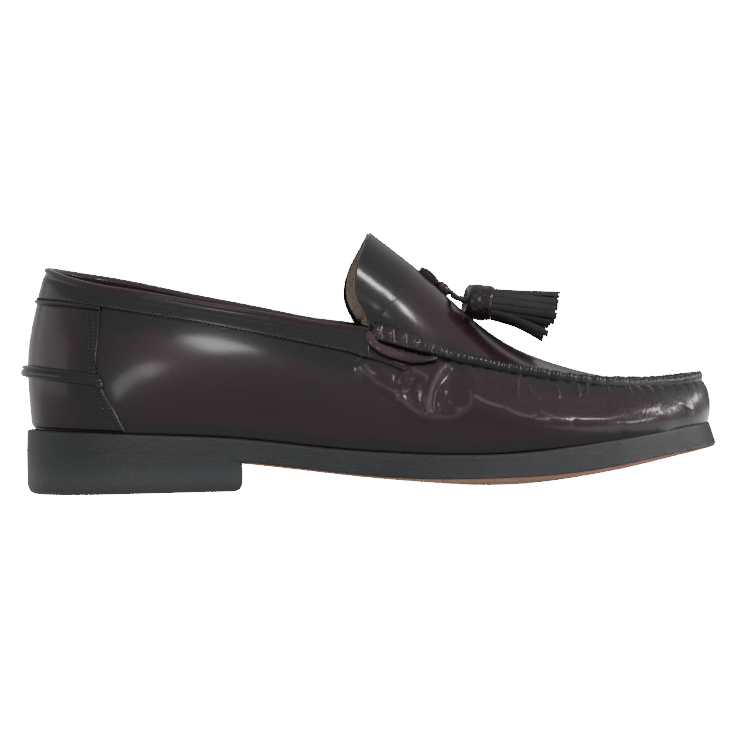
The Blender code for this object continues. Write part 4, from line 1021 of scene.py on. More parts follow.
def make_wall():
    """Quarters and vamp in one sheet round the shoe, with the walking folds and the gathers at the seam."""
    even = np.linspace(0, RING_LENGTH, 6000)
    folded = station_of(even) > THROAT - 0.6
    closeness = np.where(folded, np.where(even < TOE_PLACE, OUTER_CLOSENESS, INNER_CLOSENESS), QUARTER_CLOSENESS)
    share = np.cumsum(closeness) / np.sum(closeness)
    place = np.interp(np.linspace(0, 1, WALL_COLUMNS, endpoint=False), share, even)
    places, ts = np.meshgrid(place, np.linspace(0, 1, WALL_ROWS))
    points = wall_at(places, ts)
    normals = wall_normal(places, ts)
    station, along = station_of(places), points[..., 0]
    drop = np.linalg.norm(points - wall_at(place, 1.0)[None], axis=-1)
    outer_folds, inner_folds = (fold_relief(points, side) for side in SIDES)
    relief, crest = np.where(places > TOE_PLACE, inner_folds, outer_folds)
    crest = np.clip(crest / CREST_FULL, 0, 1) ** 2
    length = np.interp(places, *seam_line())
    phase, number = gather_phase(length)
    ahead = smooth(THROAT + 0.1, THROAT + 1.2, station)
    toe = smooth(TOE - 5, TOE, station)
    reach = GATHER_REACH + GATHER_VARIES * uneven(number, 1.0) + GATHER_AT_TOE * toe
    gather = (np.sin(np.pi * phase) ** 0.7 - 0.6) * (1 + 0.5 * uneven(number, 2.0))
    relief = relief + gather * sizes().gather_depth / MM * ahead * bell(drop, reach)
    pebbles = np.sin(5.1 * length + 2.0 * np.sin(2.3 * drop)) * np.sin(4.3 * drop + 1.7 * np.sin(1.9 * length))
    relief = relief + PEBBLE_HEIGHT * pebbles * smooth(PEBBLES_FROM, PEBBLES_TO, along)
    points = points + normals * relief[..., None]
    along, z = points[..., 0], points[..., 2]
    # The finish is darker below the collar, under the seam, over the sole, at the heel patches and at the waist
    collar = (1 - smooth(THROAT - 0.6, THROAT + 0.4, station)) * smooth(-12.0, -1.0, z - band_low_z(along))
    seam_reach = 9.0 + 6.0 * smooth(196.0, 225.0, along)
    seam = smooth(THROAT - 0.4, THROAT + 0.6, station) * (1 - smooth(2.0, seam_reach, drop))
    waist = bell(np.hypot((along - WAIST_MIDDLE[0]) / WAIST_STRETCH, z - WAIST_MIDDLE[1]), WAIST_REACH)
    low = 1 - smooth(1.0, 8.0, z - sole_z(along, "top_z"))
    heel = 1 - smooth(6.0, 20.0, np.abs(along - HEEL_PATCH_MIDDLE))
    shade = WALL_SHADE + COLLAR_SHADE * collar + SEAM_SHADE * seam + SOLE_SHADE * low
    # Crests of the narrow folds are painted lighter: partly rubbed wear, partly painted highlight
    shade = np.clip(shade + HEEL_SHADE * heel + WAIST_SHADE * waist, 0, 1) * (1 - crest) - CREST_WEAR_AND_HIGHLIGHT * crest
    piece = Piece()
    piece.grid(points, closed=True, shade=shade)
    return piece.make("quarters_and_vamp", "burgundy_leather", ["upper"], inside=(150, 0, 40))


def tongue_grid(w, first=0.0, rows=TONGUE_GRID_ROWS):
    """Rows from the tongue's tip to the throat, closer at the tip, and their distances from it."""
    from_tip = tongue_length() * np.linspace(first, 1, rows) ** 1.5
    return tongue_at(from_tip[:, None], w[None]), from_tip


def make_apron():
    """Apron and tongue in one sheet."""
    w = np.linspace(-1, 1, APRON_COLUMNS)
    tongue, from_tip = tongue_grid(w)
    station = np.linspace(THROAT, TOE, 220)
    apron = apron_at(station[:, None], w[None])
    points = np.concatenate([tongue[:-1], apron])
    ahead = np.concatenate([from_tip[:-1] - from_tip[-1], (station - THROAT) * 16.0])[:, None]
    edge = 1 - np.abs(w)[None]
    shade = np.clip(
        (1 - smooth(-6.0, 26.0, ahead + 14 * edge)) + 0.9 * (1 - smooth(0.0, 0.28, edge)) * smooth(-4, 4, ahead)
        + 0.35 * smooth(100, 140, ahead), 0, 1)
    piece = Piece()
    piece.grid(points, shade=shade)
    return piece.make("apron_and_tongue", "burgundy_leather", ["upper"], inside=(150, 0, 20))


def make_lining():
    """Lining of the whole upper, a wall's thickness inside it, and the tongue's turned edge."""
    piece = Piece()
    places, ts = np.meshgrid(np.linspace(0, RING_LENGTH, 360, endpoint=False), np.linspace(0, 1, 36))
    piece.grid(off_wall(places, ts, -WALL), closed=True, shade=0.2)
    w = np.linspace(-0.97, 0.97, 50)
    tongue, _ = tongue_grid(w, 0.02, 30)
    apron = apron_at(np.linspace(THROAT, TOE - 0.05, 90)[:, None], w[None])
    outside = np.concatenate([tongue[:-1], apron])
    normals = facing(grid_normals(outside), (0, 0, 1))
    thick = np.interp(np.arange(len(outside)), (0, 24, 34), (1.2, 1.3, WALL))[:, None, None]
    piece.grid(outside - thick * normals, shade=0.35)
    return piece.make("lining", "lining_leather", ["upper"], inside=(150, 0, 40), turned_in=True)


def make_tongue_edge():
    """Rounded edge of the tongue, which joins its two skins."""
    tongue, _ = tongue_grid(np.linspace(-1, 1, APRON_COLUMNS))
    normals = facing(grid_normals(tongue), (1, 0, 1))
    rim, rim_normals = (np.concatenate([grid[:0:-1, 0], grid[0], grid[1:, -1]]) for grid in (tongue, normals))
    keep = np.concatenate([[True], np.linalg.norm(np.diff(rim, axis=0), axis=1) > 0.02])
    rim, rim_normals = rim[keep], unit(rim_normals[keep])
    path = rim - rim_normals * TONGUE_EDGE_DEPTH
    piece = Piece()
    piece.tube(round_loops(path, rim_normals, TONGUE_EDGE_WIDE, TONGUE_EDGE_HIGH, 12), shade=1.0)
    return piece.make("tongue_edge", "burgundy_leather", ["upper"])


def make_seam_ridge():
    """Raised seam between vamp and apron: the vamp's edge gathered in a soft lip, with a pillow per stitch."""
    place, lengths = seam_line()
    length = np.linspace(0, lengths[-1], SEAM_COLUMNS)
    place = np.interp(length, lengths, place)
    here, wall_way, apron_way, lift = seam_frame(place)
    from_throat = np.minimum(length, lengths[-1] - length)
    phase, number = gather_phase(length)
    throat = throat_share(from_throat)
    wide = 1.0 + SEAM_WIDER * throat
    start = smooth(0.0, 3.0, from_throat) * 0.9 + 0.1
    pillow = 1 - (0.5 + 0.5 * throat) * (1 - np.sin(np.pi * phase) ** 0.55)
    pucker = 0.16 * np.sin(length * 3.3 + 1.5 * np.sin(length * 0.7))
    pucker = pucker + 0.12 * np.sin(length * 5.9 + 2 * np.sin(length * 0.4))
    tall = (SEAM_TALL + 0.3 * uneven(number, 3.0) + (1 - 0.7 * throat) * pucker) * start * (0.62 + 0.38 * pillow)
    q = np.linspace(0, 1, 17)[None]
    bulge = np.sin(np.pi * q) ** 0.62
    pinch = 1 - 0.10 * (1 - pillow)[:, None]
    wall_reach = (SEAM_ON_WALL * wide)[:, None] * pinch * np.clip(1 - 1.25 * q, -0.25, 1)
    apron_reach = (SEAM_ON_APRON * wide)[:, None] * pinch * np.clip(1.25 * q - 0.25, 0, 1)
    # A shallow slot along the lip, where the apron's cut edge shows beside the vamp's
    slot = 0.55 * bell(q - 0.66, 0.08)
    points = (
        here[:, None] + np.maximum(wall_reach, 0)[..., None] * wall_way[:, None]
        + apron_reach[..., None] * apron_way[:, None]
        + (tall[:, None] * bulge - slot * (start * (1 - 0.8 * throat))[:, None] + 0.05)[..., None] * lift[:, None]
    )
    shade = 1.0 - (0.2 + 0.8 * throat * pillow)[:, None] * bell(q - 0.42, 0.34)
    piece = Piece()
    piece.grid(points, shade=shade)
    return piece.make("apron_seam", "burgundy_leather", ["upper"], inside=(190, 0, 20))


def make_seam_stitches():
    """Waxed stitches that cross the seam between its pillows."""
    place, lengths = seam_line()
    at = np.linspace(0, lengths[-1], 6000)
    _, number = gather_phase(at)
    piece = Piece()
    radius = sizes().seam_thread / MM
    share = np.linspace(0, 1, 9)
    reach = (1 - 2 * share)[:, None]
    over = np.sin(np.pi * share)[:, None] ** 0.6
    for length in at[:-1][np.diff(number) > 0]:
        from_throat = min(length, lengths[-1] - length)
        if from_throat < 3.0:
            continue
        throat = float(throat_share(from_throat))
        slant = (1.2 + 2.4 * throat) * (1 if length < lengths[-1] / 2 else -1)
        lengths_here = length + slant * (0.5 - share)
        here, wall_way, apron_way, lift = seam_frame(np.interp(lengths_here, lengths, place))
        wide = 1.0 + SEAM_WIDER * throat
        path = (
            here + np.maximum(reach, 0) * 2.4 * wide * wall_way + np.maximum(-reach, 0) * 2.2 * wide * apron_way
            + lift * ((2.05 + 0.35 * throat) * over + 0.1)
        )
        thread(piece, path, lift, radius * (0.85 + 0.6 * throat), sides=7)
    return piece.make("apron_seam_stitches", "dark_leather", look="waxed_thread")


def band_low_t(place):
    return t_at_z(place, band_low_z)


def collar_places(count=520, end=BAND_END):
    """Places of the collar, from the outer throat round the heel to the inner throat."""
    outer = ring_place(end, "outer")
    inner = ring_place(end, "inner") - RING_LENGTH
    return np.linspace(outer, inner, count)


def make_collar_band():
    """Binding folded over the collar: a rolled top edge, then a flat band outside, shorter inside."""
    place = collar_places()
    low = band_low_t(place)
    out = wall_normal(place, 0.98)
    roll_t = t_at_drop(place, ROLL_DROP)
    outside = (
        (0.0, 0.25), (0.0, 0.95), (0.03, 1.35), (0.10, 1.45), (0.3, 1.45), (0.55, 1.4), (0.8, 1.35), (0.93, 1.2),
        (1.0, 1.0),
    )
    inside = (
        (ROLL_DROP, 1.15), (4.0, 1.4), (6.0, 1.4), (BAND_INSIDE_DROP, 1.3), (BAND_INSIDE_DROP + 0.3, 0.3),
    )
    loops = [off_wall(place, low + share * (roll_t - low), distance) for share, distance in outside]
    middle = wall_at(place, 1.0) - out * (WALL / 2)
    reach = WALL / 2 + GAP + 1.15
    for degrees in range(-40, 221, 20):
        turn = math.radians(degrees)
        loops.append(middle + out * reach * math.cos(turn) + UP * (1.6 * math.sin(turn) + 0.05))
    for drop, distance in inside:
        loops.append(off_wall(place, t_at_drop(place, drop), -WALL - distance))
    shade = np.full(len(loops), 0.25)
    shade[:len(outside)] = 1.0
    # The band's inside is painted lighter: painted light where the inside of the shoe lies dark
    shade[-len(inside) - 1:] = -0.3
    piece = Piece()
    piece.tube(np.swapaxes(loops, 0, 1), shade=shade[None])
    return piece.make("collar_binding", "burgundy_leather", ["collar_band"])


def make_band_tip(side):
    """Flat end of the collar band below the throat corner."""
    piece = Piece()
    along, low, high = zip(*BAND_TIP)
    fine = np.linspace(along[0] - 2.0, along[-1], 40)
    low, high = np.interp(fine, along, low), np.interp(fine, along, high)
    section = (0.0, 0.0), (0.0, 1.0), (0.1, BAND_OUT), (0.5, 1.4), (0.9, BAND_OUT), (1.0, 1.0), (1.0, 0.0)
    rows = [off_wall(*find_on_wall(fine, low + share * (high - low), side), distance) for share, distance in section]
    piece.tube(np.swapaxes(rows, 0, 1), shade=1.0)
    return piece.make("band_tip_" + side, "burgundy_leather", ["collar_band_tip_" + side])


def make_collar_stitches():
    """Twisted zigzag stitching along the lower edge of the collar band."""
    piece = Piece()
    radius = sizes().edge_thread / MM
    place = collar_places(2400, 6.95)
    lengths = lengths_along(wall_at(place, band_low_t(place)))
    at = np.arange(0, lengths[-1], 0.22)
    places = np.interp(at, lengths, place)
    wave = np.abs(((at / ZIGZAG_LENGTH) % 2.0) - 1.0)
    t = t_at_z(places, lambda along: band_low_z(along) + 0.15)
    climb = np.linalg.norm(wall_at(places, t + 0.01) - wall_at(places, t), axis=-1) / 0.01
    t = t + ZIGZAG_WIDTH * wave / climb
    normal = wall_normal(places, t)
    path = wall_at(places, t) + normal * (BAND_OUT + 0.3 * np.sin(np.pi * wave))[:, None]
    piece.tube(round_loops(path, normal, radius, radius, 5))
    return piece.make("collar_stitches", "dark_leather")


def make_ear(side):
    """Turned end of the vamp's edge: a soft roll that curls round below the throat corner."""
    place, t = find_on_wall(*curve_through(EAR_ROUTE, 120).T, side)
    path, normals = wall_at(place, t), wall_normal(place, t)
    share = np.linspace(0, 1, len(path))
    full = np.clip(np.minimum(share / 0.06, (1 - share) / 0.3), 0, 1) ** 0.5 * 0.9 + 0.1
    full = full * (1 + 0.07 * np.sin(share * 21) + 0.04 * np.sin(share * 47 + 1))
    piece = Piece()
    # Most of the roll is painted lighter as a painted highlight; it darkens towards its end
    piece.tube(
        round_loops(path, normals, EAR_HALF_WIDTH * full, EAR_HEIGHT / 2 * full + 0.1, 20, lift=EAR_HEIGHT / 2),
        shade=-0.4 + 1.0 * smooth(0.5, 0.95, share)[:, None],
    )
    return piece.make("ear_" + side, "burgundy_leather", ["vamp_ear_" + side])


def heel_places(front, z, count):
    """Places round the heel's back between the two points at this distance along."""
    outer, _ = find_on_wall([front], [z], "outer")
    inner, _ = find_on_wall([front], [z], "inner")
    return np.linspace(outer[0], inner[0] - RING_LENGTH, count)


def bead_z(along):
    return np.interp(along, (0.0, STAY_FRONT), (BEAD_Z_BACK, BEAD_Z_FRONT))


def from_ends(count):
    """How many columns each column is from the nearer end of its row."""
    return np.minimum(np.arange(count), np.arange(count)[::-1])


def make_heel_stay():
    """Upper heel patch with its raised top piping."""
    place = heel_places(STAY_FRONT, 65.0, 220)
    low = t_at_z(place, lambda along: bead_z(along) + 1.4)
    high = band_low_t(place) - BAND_CLEAR
    flat = ((share, PATCH_OUT) for share in np.linspace(0.03, 0.97, 20))
    section = (0.0, 0.1), (0.0, 0.8), *flat, (1.0, 0.8), (1.0, 0.1)
    rows = np.array([off_wall(place, low + share * (high - low), distance) for share, distance in section])
    # The ends turn down to the wall
    first, last = (wall_at(np.full(len(rows), place[k]), np.linspace(low[k], high[k], len(rows))) for k in (0, -1))
    points = np.concatenate([first[:, None], rows, last[:, None]], 1)
    points[:, 1] = rows[:, 0] * 0.85 + first * 0.15
    points[:, -2] = rows[:, -1] * 0.85 + last * 0.15
    shade = np.clip(1.0 - 0.75 * smooth(6, 30, from_ends(points.shape[1])), 0, 1)
    piece = Piece()
    piece.grid(points, shade=shade[None])
    made = piece.make("heel_patch", "burgundy_leather", ["heel_stay"], inside=(60, 0, 50))
    piping = Piece()
    path_t = band_low_t(place) - 0.012
    normals = wall_normal(place, path_t)
    path = wall_at(place, path_t) + normals * 1.5
    piping.tube(round_loops(path, normals, PIPING_WIDE, PIPING_HIGH, 12), shade=0.8)
    piping.make("heel_piping", "burgundy_leather")
    return made


def panel_edge_stitches(piece, along_at, z_low, z_high, side, behind, out):
    """A row of stitches on the heel patches, a distance behind their front edge."""
    z = np.linspace(z_low, z_high, 160)
    place, t = find_on_wall(along_at(z) - behind, z, side)
    normals = wall_normal(place, t)
    path = spaced(wall_at(place, t) + normals * out, 0.3)
    normals = normals[np.linspace(0, len(z) - 1, len(path)).astype(int)]
    stitch_row(piece, path, normals, STITCH_LENGTH, STITCH_GAP, 1.25 * sizes().edge_thread / MM)


def make_heel_foxing():
    """Lower heel patch, whose front edge slants forward from the bead to the sole."""
    columns = 120
    share = np.linspace(0, 1, 26)
    along = FOXING_FRONT + (STAY_FRONT - FOXING_FRONT) * share
    foot = sole_z(along, "top_z") + 1.0
    z = foot + (bead_z(STAY_FRONT) - foot) * share
    edge = np.minimum(1.0, (columns - 1 - np.arange(columns)) / 2.0)[None] ** 0.5
    out = 0.15 + 1.05 * edge * np.minimum(1.0, np.minimum(share, 1 - share)[:, None] * 12 + 0.4)
    halves = []
    for side, back in zip(SIDES, (0.0, RING_LENGTH)):
        end, _ = find_on_wall(along, z, side)
        places = back + (end[:, None] - back) * np.linspace(0, 1, columns)[None]
        high = t_at_z(places, lambda a: bead_z(a) - 1.2)
        halves.append(off_wall(places, 0.008 + share[:, None] * (high - 0.008), out[..., None]))
    points = np.concatenate([halves[0][:, ::-1], halves[1][:, 1:]], 1)
    shade = np.clip(0.95 - 0.7 * smooth(14, 60, from_ends(points.shape[1])), 0, 1)
    piece = Piece()
    piece.grid(points, shade=shade[None])
    return piece.make("heel_counter", "burgundy_leather", ["heel_foxing"], inside=(60, 0, 40))


def make_heel_stitches():
    """Two rows of stitches behind each front edge of the heel's patches."""
    piece = Piece()
    for side in SIDES:
        for behind in STAY_ROWS:
            panel_edge_stitches(piece, lambda z: STAY_FRONT + 0 * z, 50.5, 76.5, side, behind, 1.3)
        for behind in FOXING_ROWS:
            panel_edge_stitches(
                piece, lambda z: FOXING_FRONT + (STAY_FRONT - FOXING_FRONT) * (z - 27.0) / 20.0,
                28.5, 46.0, side, behind, PATCH_OUT,
            )
    return piece.make("heel_stitches", "dark_leather")


def make_heel_bead():
    """Turned seam round the heel: two ridges with a groove between, which stand out most at the back."""
    place = heel_places(STAY_FRONT, BEAD_Z_FRONT, 260)
    t = t_at_z(place, bead_z)
    here, normal = wall_at(place, t), wall_normal(place, t)
    forward = np.clip(here[:, 0] / STAY_FRONT, 0, 1)
    reach = (BEAD_OUT_BACK + (BEAD_OUT_FRONT + 0.5 - BEAD_OUT_BACK) * np.sqrt(forward))[:, None]
    profile = (
        (0.0, -2.6), (0.5, -2.55), (0.82, -2.2), (0.96, -1.6), (1.0, -0.9), (0.98, -0.2), (0.92, 0.4), (0.8, 0.75),
        (0.74, 0.95), (0.8, 1.15), (0.9, 1.45), (0.91, 1.8), (0.8, 2.25), (0.5, 2.55), (0.0, 2.6),
    )
    loops = [here + normal * (reach * out + 0.25) + UP * rise for out, rise in profile]
    piece = Piece()
    piece.tube(np.swapaxes(loops, 0, 1), shade=0.85)
    down = unit((0.15, 0.0, -1.0))
    for knot in (0, -1):
        piece.tube(lump(here[knot] + normal[knot] * 0.9 - UP * 1.2, down, BEAD_KNOT_HALF, 2, 0.3), shade=0.8)
    return piece.make("heel_cord_seam", "burgundy_leather", ["heel_bead"])


def sole_line(count, inset, first, last, upto=0):
    """Outline of the sole at an inset, from back to toe on each side, as (outer, inner) points."""
    station = np.linspace(first, last, count)
    made = []
    for side in SIDES:
        place = ring_place(station, side)
        row = ring(place)
        distance = inset + np.sum(row[:, 2: 2 + upto], axis=1)
        made.append(np.column_stack([row[:, :2], 0 * row[:, 0]]) - outward(place) * distance[:, None])
    return made


def between(outer, inner, steps):
    """Points at shares of the way from each outer point to its inner one."""
    return outer[:, None] + (inner - outer)[:, None] * steps[None, :, None]


def heel_loop(inset, z):
    """Loop round the heel, with its front corners rounded. Without a height it follows the sole's lower edge."""
    halves = sole_line(90, inset, 0.0, station_at(HEEL_LENGTH - HEEL_CORNER))
    share = np.linspace(0, 1, 8)[1:]
    corners = []
    for side, half in zip(SIDES, halves):
        breast = ring(ring_place(station_at(HEEL_LENGTH), side))[1] * (1 - inset / BREAST_NARROWS)
        end = half[-1]
        corners.append(np.column_stack([
            end[0] + (HEEL_LENGTH - inset - end[0]) * np.sin(share * np.pi / 2),
            end[1] + (breast * BREAST_BOW - end[1]) * share, 0 * share]))
    outer, inner = corners
    front = outer[-1] + (inner[-1] - outer[-1]) * np.linspace(0, 1, 40)[1:-1, None]
    loop = np.concatenate([halves[0], outer, front, inner[::-1], halves[1][::-1][:-1]])
    loop[:, 2] = sole_z(loop[:, 0], "edge_z") + 0.3 + 12.0 * inset if z is None else z
    return loop


def make_sole():
    """Black sole body and stacked heel in one, with rounded lower corners."""
    place = np.linspace(0, RING_LENGTH, 720, endpoint=False)
    row = ring(place)
    out = outward(place)
    outline = np.column_stack([row[:, :2], 0 * row[:, 0]])
    top_z = sole_z(row[:, 0], "top_z")
    edge_z = sole_z(row[:, 0], "edge_z") + tan_edge(row[:, 0])
    slant = row[:, 2]
    levels = [(slant + inset, top_z - drop) for inset, drop in SOLE_TOP_CORNER]
    levels += [(slant * (1 - share), top_z + (edge_z - top_z) * share) for share in np.linspace(0.08, 0.94, 14)]
    levels += [(0 * slant + inset, edge_z + rise) for inset, rise in SOLE_LOW_CORNER]
    loops = []
    for inset, z in levels:
        loops.append(outline - out * inset[:, None])
        loops[-1][:, 2] = z
    piece = Piece()
    # Lighter along the side of the sole's forepart
    piece.grid(loops, closed=True, shade=0.4 * bell(row[:, 0] - 205.0, 60.0)[None])
    under = between(*sole_line(240, 5.0, 0.0, TOE), np.linspace(0, 1, 9))
    under[..., 2] = sole_z(under[..., 0], "edge_z") + 0.1
    piece.grid(under)
    rows = np.array([heel_loop(inset, z) for inset, z in HEEL_LEVELS])
    # The heel is lighter towards its foot and its back
    low = 1 - smooth(4.0, 22.0, rows[..., 2])
    back = 1 - smooth(-2.0, 8.0, rows[..., 0])
    ids = piece.grid(rows, closed=True, shade=0.5 * low + 0.35 * back)
    piece.faces.append(ids[0, :-1].tolist())
    return piece.make("sole_edge_and_heel", "black_sole", ["midsole", "heel"], sharp=50)


def tan_edge(along):
    """Height of the tan leather that shows under the black edge."""
    return 0.85 * smooth(145.0, 205.0, along) * (1 - smooth(262.0, 286.0, along))


def make_tread():
    """Tan leather tread, domed across, flat where it stands on the floor."""
    steps = np.linspace(0, 1, 60)
    bottom = between(*sole_line(260, 0.5, station_at(HEEL_LENGTH + 1.0), TOE - 0.02), steps)
    share = np.abs(2 * steps - 1)[None]
    edge = sole_z(bottom[..., 0], "edge_z") - 0.7
    crown = sole_z(bottom[..., 0], "tread_z")
    bottom[..., 2] = np.maximum(crown + (edge - crown) * share**3, 0.0)
    top = bottom.copy()
    top[..., 2] = sole_z(bottom[..., 0], "edge_z") + tan_edge(bottom[..., 0]) + 0.3
    piece = Piece()
    piece.grid(bottom)
    for k in (0, -1):
        piece.grid(np.stack([bottom[:, k], top[:, k]]))
        piece.grid(np.stack([bottom[k], top[k]]))
    return piece.make("tread", "tan_leather", ["outsole"], inside=(190, 0, 10), sharp=40)


def make_insole():
    """Sock on the insole, cupped a little at its edge."""
    steps = np.linspace(0, 1, 30)
    points = between(*sole_line(160, WALL + 0.4, 0.02, TOE - 0.05, upto=2), steps)
    share = np.abs(2 * steps - 1)[None]
    points[..., 2] = sole_z(points[..., 0], "top_z") + GAP + 2.4 + 1.6 * share**5
    piece = Piece()
    piece.grid(points, shade=0.3 * share)
    return piece.make("sock", "lining_leather", ["insole"], inside=(150, 0, 0))


def tassel_frame(side):
    """Back centre of a tassel's cap and its three directions: along it, sideways and up."""
    pitch = math.radians(TASSEL_PITCH[side])
    splay = math.radians(TASSEL_SPLAY[side])
    ahead = np.array([math.cos(pitch) * math.cos(splay), math.cos(pitch) * math.sin(splay), math.sin(pitch)])
    sideways = np.array([-math.sin(splay), math.cos(splay), 0.0])
    return np.array(TASSEL_BACK[side], float), ahead, sideways, np.cross(ahead, sideways)


def crown_at(along):
    samples = crown_spline(np.linspace(RING_KNOTS[THROAT], RING_KNOTS[TOE], 400))
    return float(np.interp(along, samples[:, 0], samples[:, 1]))


def over_crown(along, across, lift):
    """Point at a height above the apron's crown line, square to it."""
    tiny = 0.5
    rise = crown_at(along + tiny) - crown_at(along - tiny)
    slope = np.array([2 * tiny, rise]) / math.hypot(2 * tiny, rise)
    return np.array([along - slope[1] * lift, across, crown_at(along) + slope[0] * lift])


def thong_route(side):
    """The thong's own points: out of the apron, over in a low arch, through the knot and into the cap."""
    sign = -1 if side == "outer" else 1
    back, ahead, _, _ = tassel_frame(side)
    lie = THONG_RADIUS + GAP + 0.1
    return [
        over_crown(167.2, sign * 2.4, lie - 0.1), over_crown(168.6, sign * 2.0, lie + 0.3),
        over_crown(170.8, sign * 1.5, lie + 0.6), over_crown(173.4, sign * 1.15, lie + 0.5),
        over_crown(176.3, sign * 1.1, lie + 0.6), over_crown(179.3, sign * 2.0, lie + 1.2),
        back - ahead * 4.2 + np.array([0, 0, 0.5]), back, back + ahead * THONG_IN_CAP,
    ]


def in_metres(point):
    return ((point[0] - HEEL_CENTRE) * MM, point[1] * MM, point[2] * MM)


def make_thong(side):
    """Thin thong, one smooth curve from the apron to the inside of the cap."""
    points = route_points(thong_route(side), 1.2)
    curve = bpy.data.curves.new("thong_strip_" + side, "CURVE")
    curve.dimensions = "3D"
    curve.bevel_depth = THONG_RADIUS * MM
    curve.bevel_resolution = 5
    curve.use_fill_caps = True
    line = curve.splines.new("POLY")
    line.points.add(len(points) - 1)
    full = np.interp(points[:, 0], THONG_ALONG, THONG_FULLNESS)
    for target, p, radius in zip(line.points, points, full):
        target.co = (*in_metres(p), 1.0)
        target.radius = float(radius)
    line.use_smooth = True
    curve.materials.append(finish("polished_tassel"))
    made = placed(linked("thong_strip_" + side, curve), ["thong_" + side])
    return made, points[0], float(lengths_along(points)[-1])


def lump(centre, ahead, half, ridges, depth):
    """A flattened bead of leather with ridges across it, of this half length, half width and half height."""
    long, wide, high = half
    sideways = np.array([0.0, 1.0, 0.0])
    up = np.cross(ahead, sideways)
    up = up if up[2] > 0 else -up
    reach = np.linspace(-1, 1, 38)
    full = np.clip(1 - np.abs(reach) ** 3, 0, 1) ** 0.5
    ridge = depth * np.abs(np.sin(np.pi * ridges * (reach + 1) / 2)) * full
    turn = full_turn(32)
    return (
        centre + long * ahead * reach[:, None, None]
        + (wide * full + ridge)[:, None, None] * np.cos(turn)[None, :, None] * sideways
        + (high * full + ridge)[:, None, None] * np.sin(turn)[None, :, None] * up
    )


def make_knot():
    """Wrap of leather round both thongs, with three turns that show as ridges, and the loop behind it."""
    centre = sum(thong_route(side)[4] for side in SIDES) / 2
    ahead = unit(over_crown(178.3, 0.0, 0.0) - over_crown(174.3, 0.0, 0.0))
    knot = Piece()
    knot.tube(lump(centre - np.array([0.4, 0, 0.7]), ahead, KNOT_HALF, 3, 0.4), shade=-0.25)
    made = knot.make("thong_wrap", "tassel_leather", ["thong_knot"], "polished_burgundy")
    loop = Piece()
    for sign in (-1, 1):
        loop.tube(lump(over_crown(170.6, sign * 1.9, 0.5), ahead, LOOP_HALF, 1, 0.1), shade=0.7)
    loop.make("thong_loop", "tassel_leather")
    return made


def make_cap(side):
    """Tassel cap: a strip wound round the head, pinched in places, with a rolled front edge."""
    back, ahead, sideways, up = tassel_frame(side)
    profile = curve_through(CAP_PROFILE, 60)
    turn = full_turn(96)
    reach, radius = profile[:, :1], profile[:, 1:]
    dents = np.zeros((len(profile), len(turn)))
    for at, angle, depth, size in CAP_DENTS:
        around = 7.0 * np.abs((turn - math.radians(angle) + np.pi) % (2 * np.pi) - np.pi)
        dents += depth * bell(np.hypot(reach - at, around[None]), size)
    seam = ((turn[None] - math.radians(250) - 0.06 * reach) % (2 * np.pi)) / (2 * np.pi)
    lap = 0.5 * (1 - smooth(0.0, 0.02, seam)) + 0.45 * smooth(0.0, 1.0, seam) - 0.2
    radius = radius + (dents + lap) * smooth(0.4, 2.0, reach)
    points = (
        back + ahead * reach[..., None] + radius[..., None] * (
            np.cos(turn)[None, :, None] * sideways + np.sin(turn)[None, :, None] * up)
    )
    piece = Piece()
    piece.grid(points, closed=True, shade=0.62)
    return piece.make("cap_" + side, "tassel_leather", ["tassel_cap_" + side], "polished_burgundy")


def fringe_strip(piece, side, turn, start, end, width, length, thick, twist, roll=0.0, drop=0.0):
    """One cut strip of the fringe, from inside the cap to its free end."""
    back, ahead, sideways, up = tassel_frame(side)
    share = np.linspace(0, 1, 14)
    reach = STRIP_START + (length - STRIP_START) * share
    radius = start + (end - start) * share**1.4
    angle = turn + twist * share**2
    out = np.cos(angle)[:, None] * sideways + np.sin(angle)[:, None] * up
    centre = back + ahead * reach[:, None] + out * radius[:, None] - UP * (drop * share**1.6)[:, None]
    face = angle + roll * smooth(0.2, 0.8, share)
    out = np.cos(face)[:, None] * sideways + np.sin(face)[:, None] * up
    over = -np.sin(face)[:, None] * sideways + np.cos(face)[:, None] * up
    half = (width / 2 * (0.86 + 0.14 * share))[:, None, None]
    profile = np.array(STRIP_PROFILE)
    loops = (
        centre[:, None] + over[:, None] * profile[None, :, :1] * half
        + out[:, None] * profile[None, :, 1:] * thick
    )
    tip = centre[-1] + ahead * 0.3
    end_loop = tip + (loops[-1] - centre[-1]) * 0.75
    piece.tube(np.concatenate([loops, end_loop[None]]), shade=0.4)


def make_fringe(side):
    """Fringe of cut strips in four rings, with its lowest strip hanging apart."""
    piece = Piece()
    full = CAP_LENGTH + FRINGE_LENGTH
    for count, start, end, width, phase in FRINGE_RINGS:
        for n in range(count):
            turn = 2 * math.pi * (n + phase) / count
            wave = float(uneven(n, count))
            other = float(uneven(n + 3, count + 1))
            low = max(0.0, -math.sin(turn)) ** 2
            fringe_strip(
                piece, side, turn, start, end + 0.5 * wave, width * (1 + 0.10 * other),
                full - 1.0 + 1.0 * wave - 3.2 * low, 0.62, 0.16 * other, 0.35 * wave, 1.2 * low,
            )
    fringe_strip(piece, side, math.radians(215), 6.0, 8.4, 3.4, full - 3.4, 0.8, 0.25, -0.6, 3.6)
    return piece.make("fringe_" + side, "tassel_leather", ["tassel_fringe_" + side], sharp=60)


def make_tassels():
    """Both tassels with their thongs, and the knot."""
    on_strip = {"outer": [make_knot()], "inner": []}
    for side, pieces in on_strip.items():
        strip, start, length = make_thong(side)
        in_metres(start)
        length * MM
        make_cap(side)
        make_fringe(side)


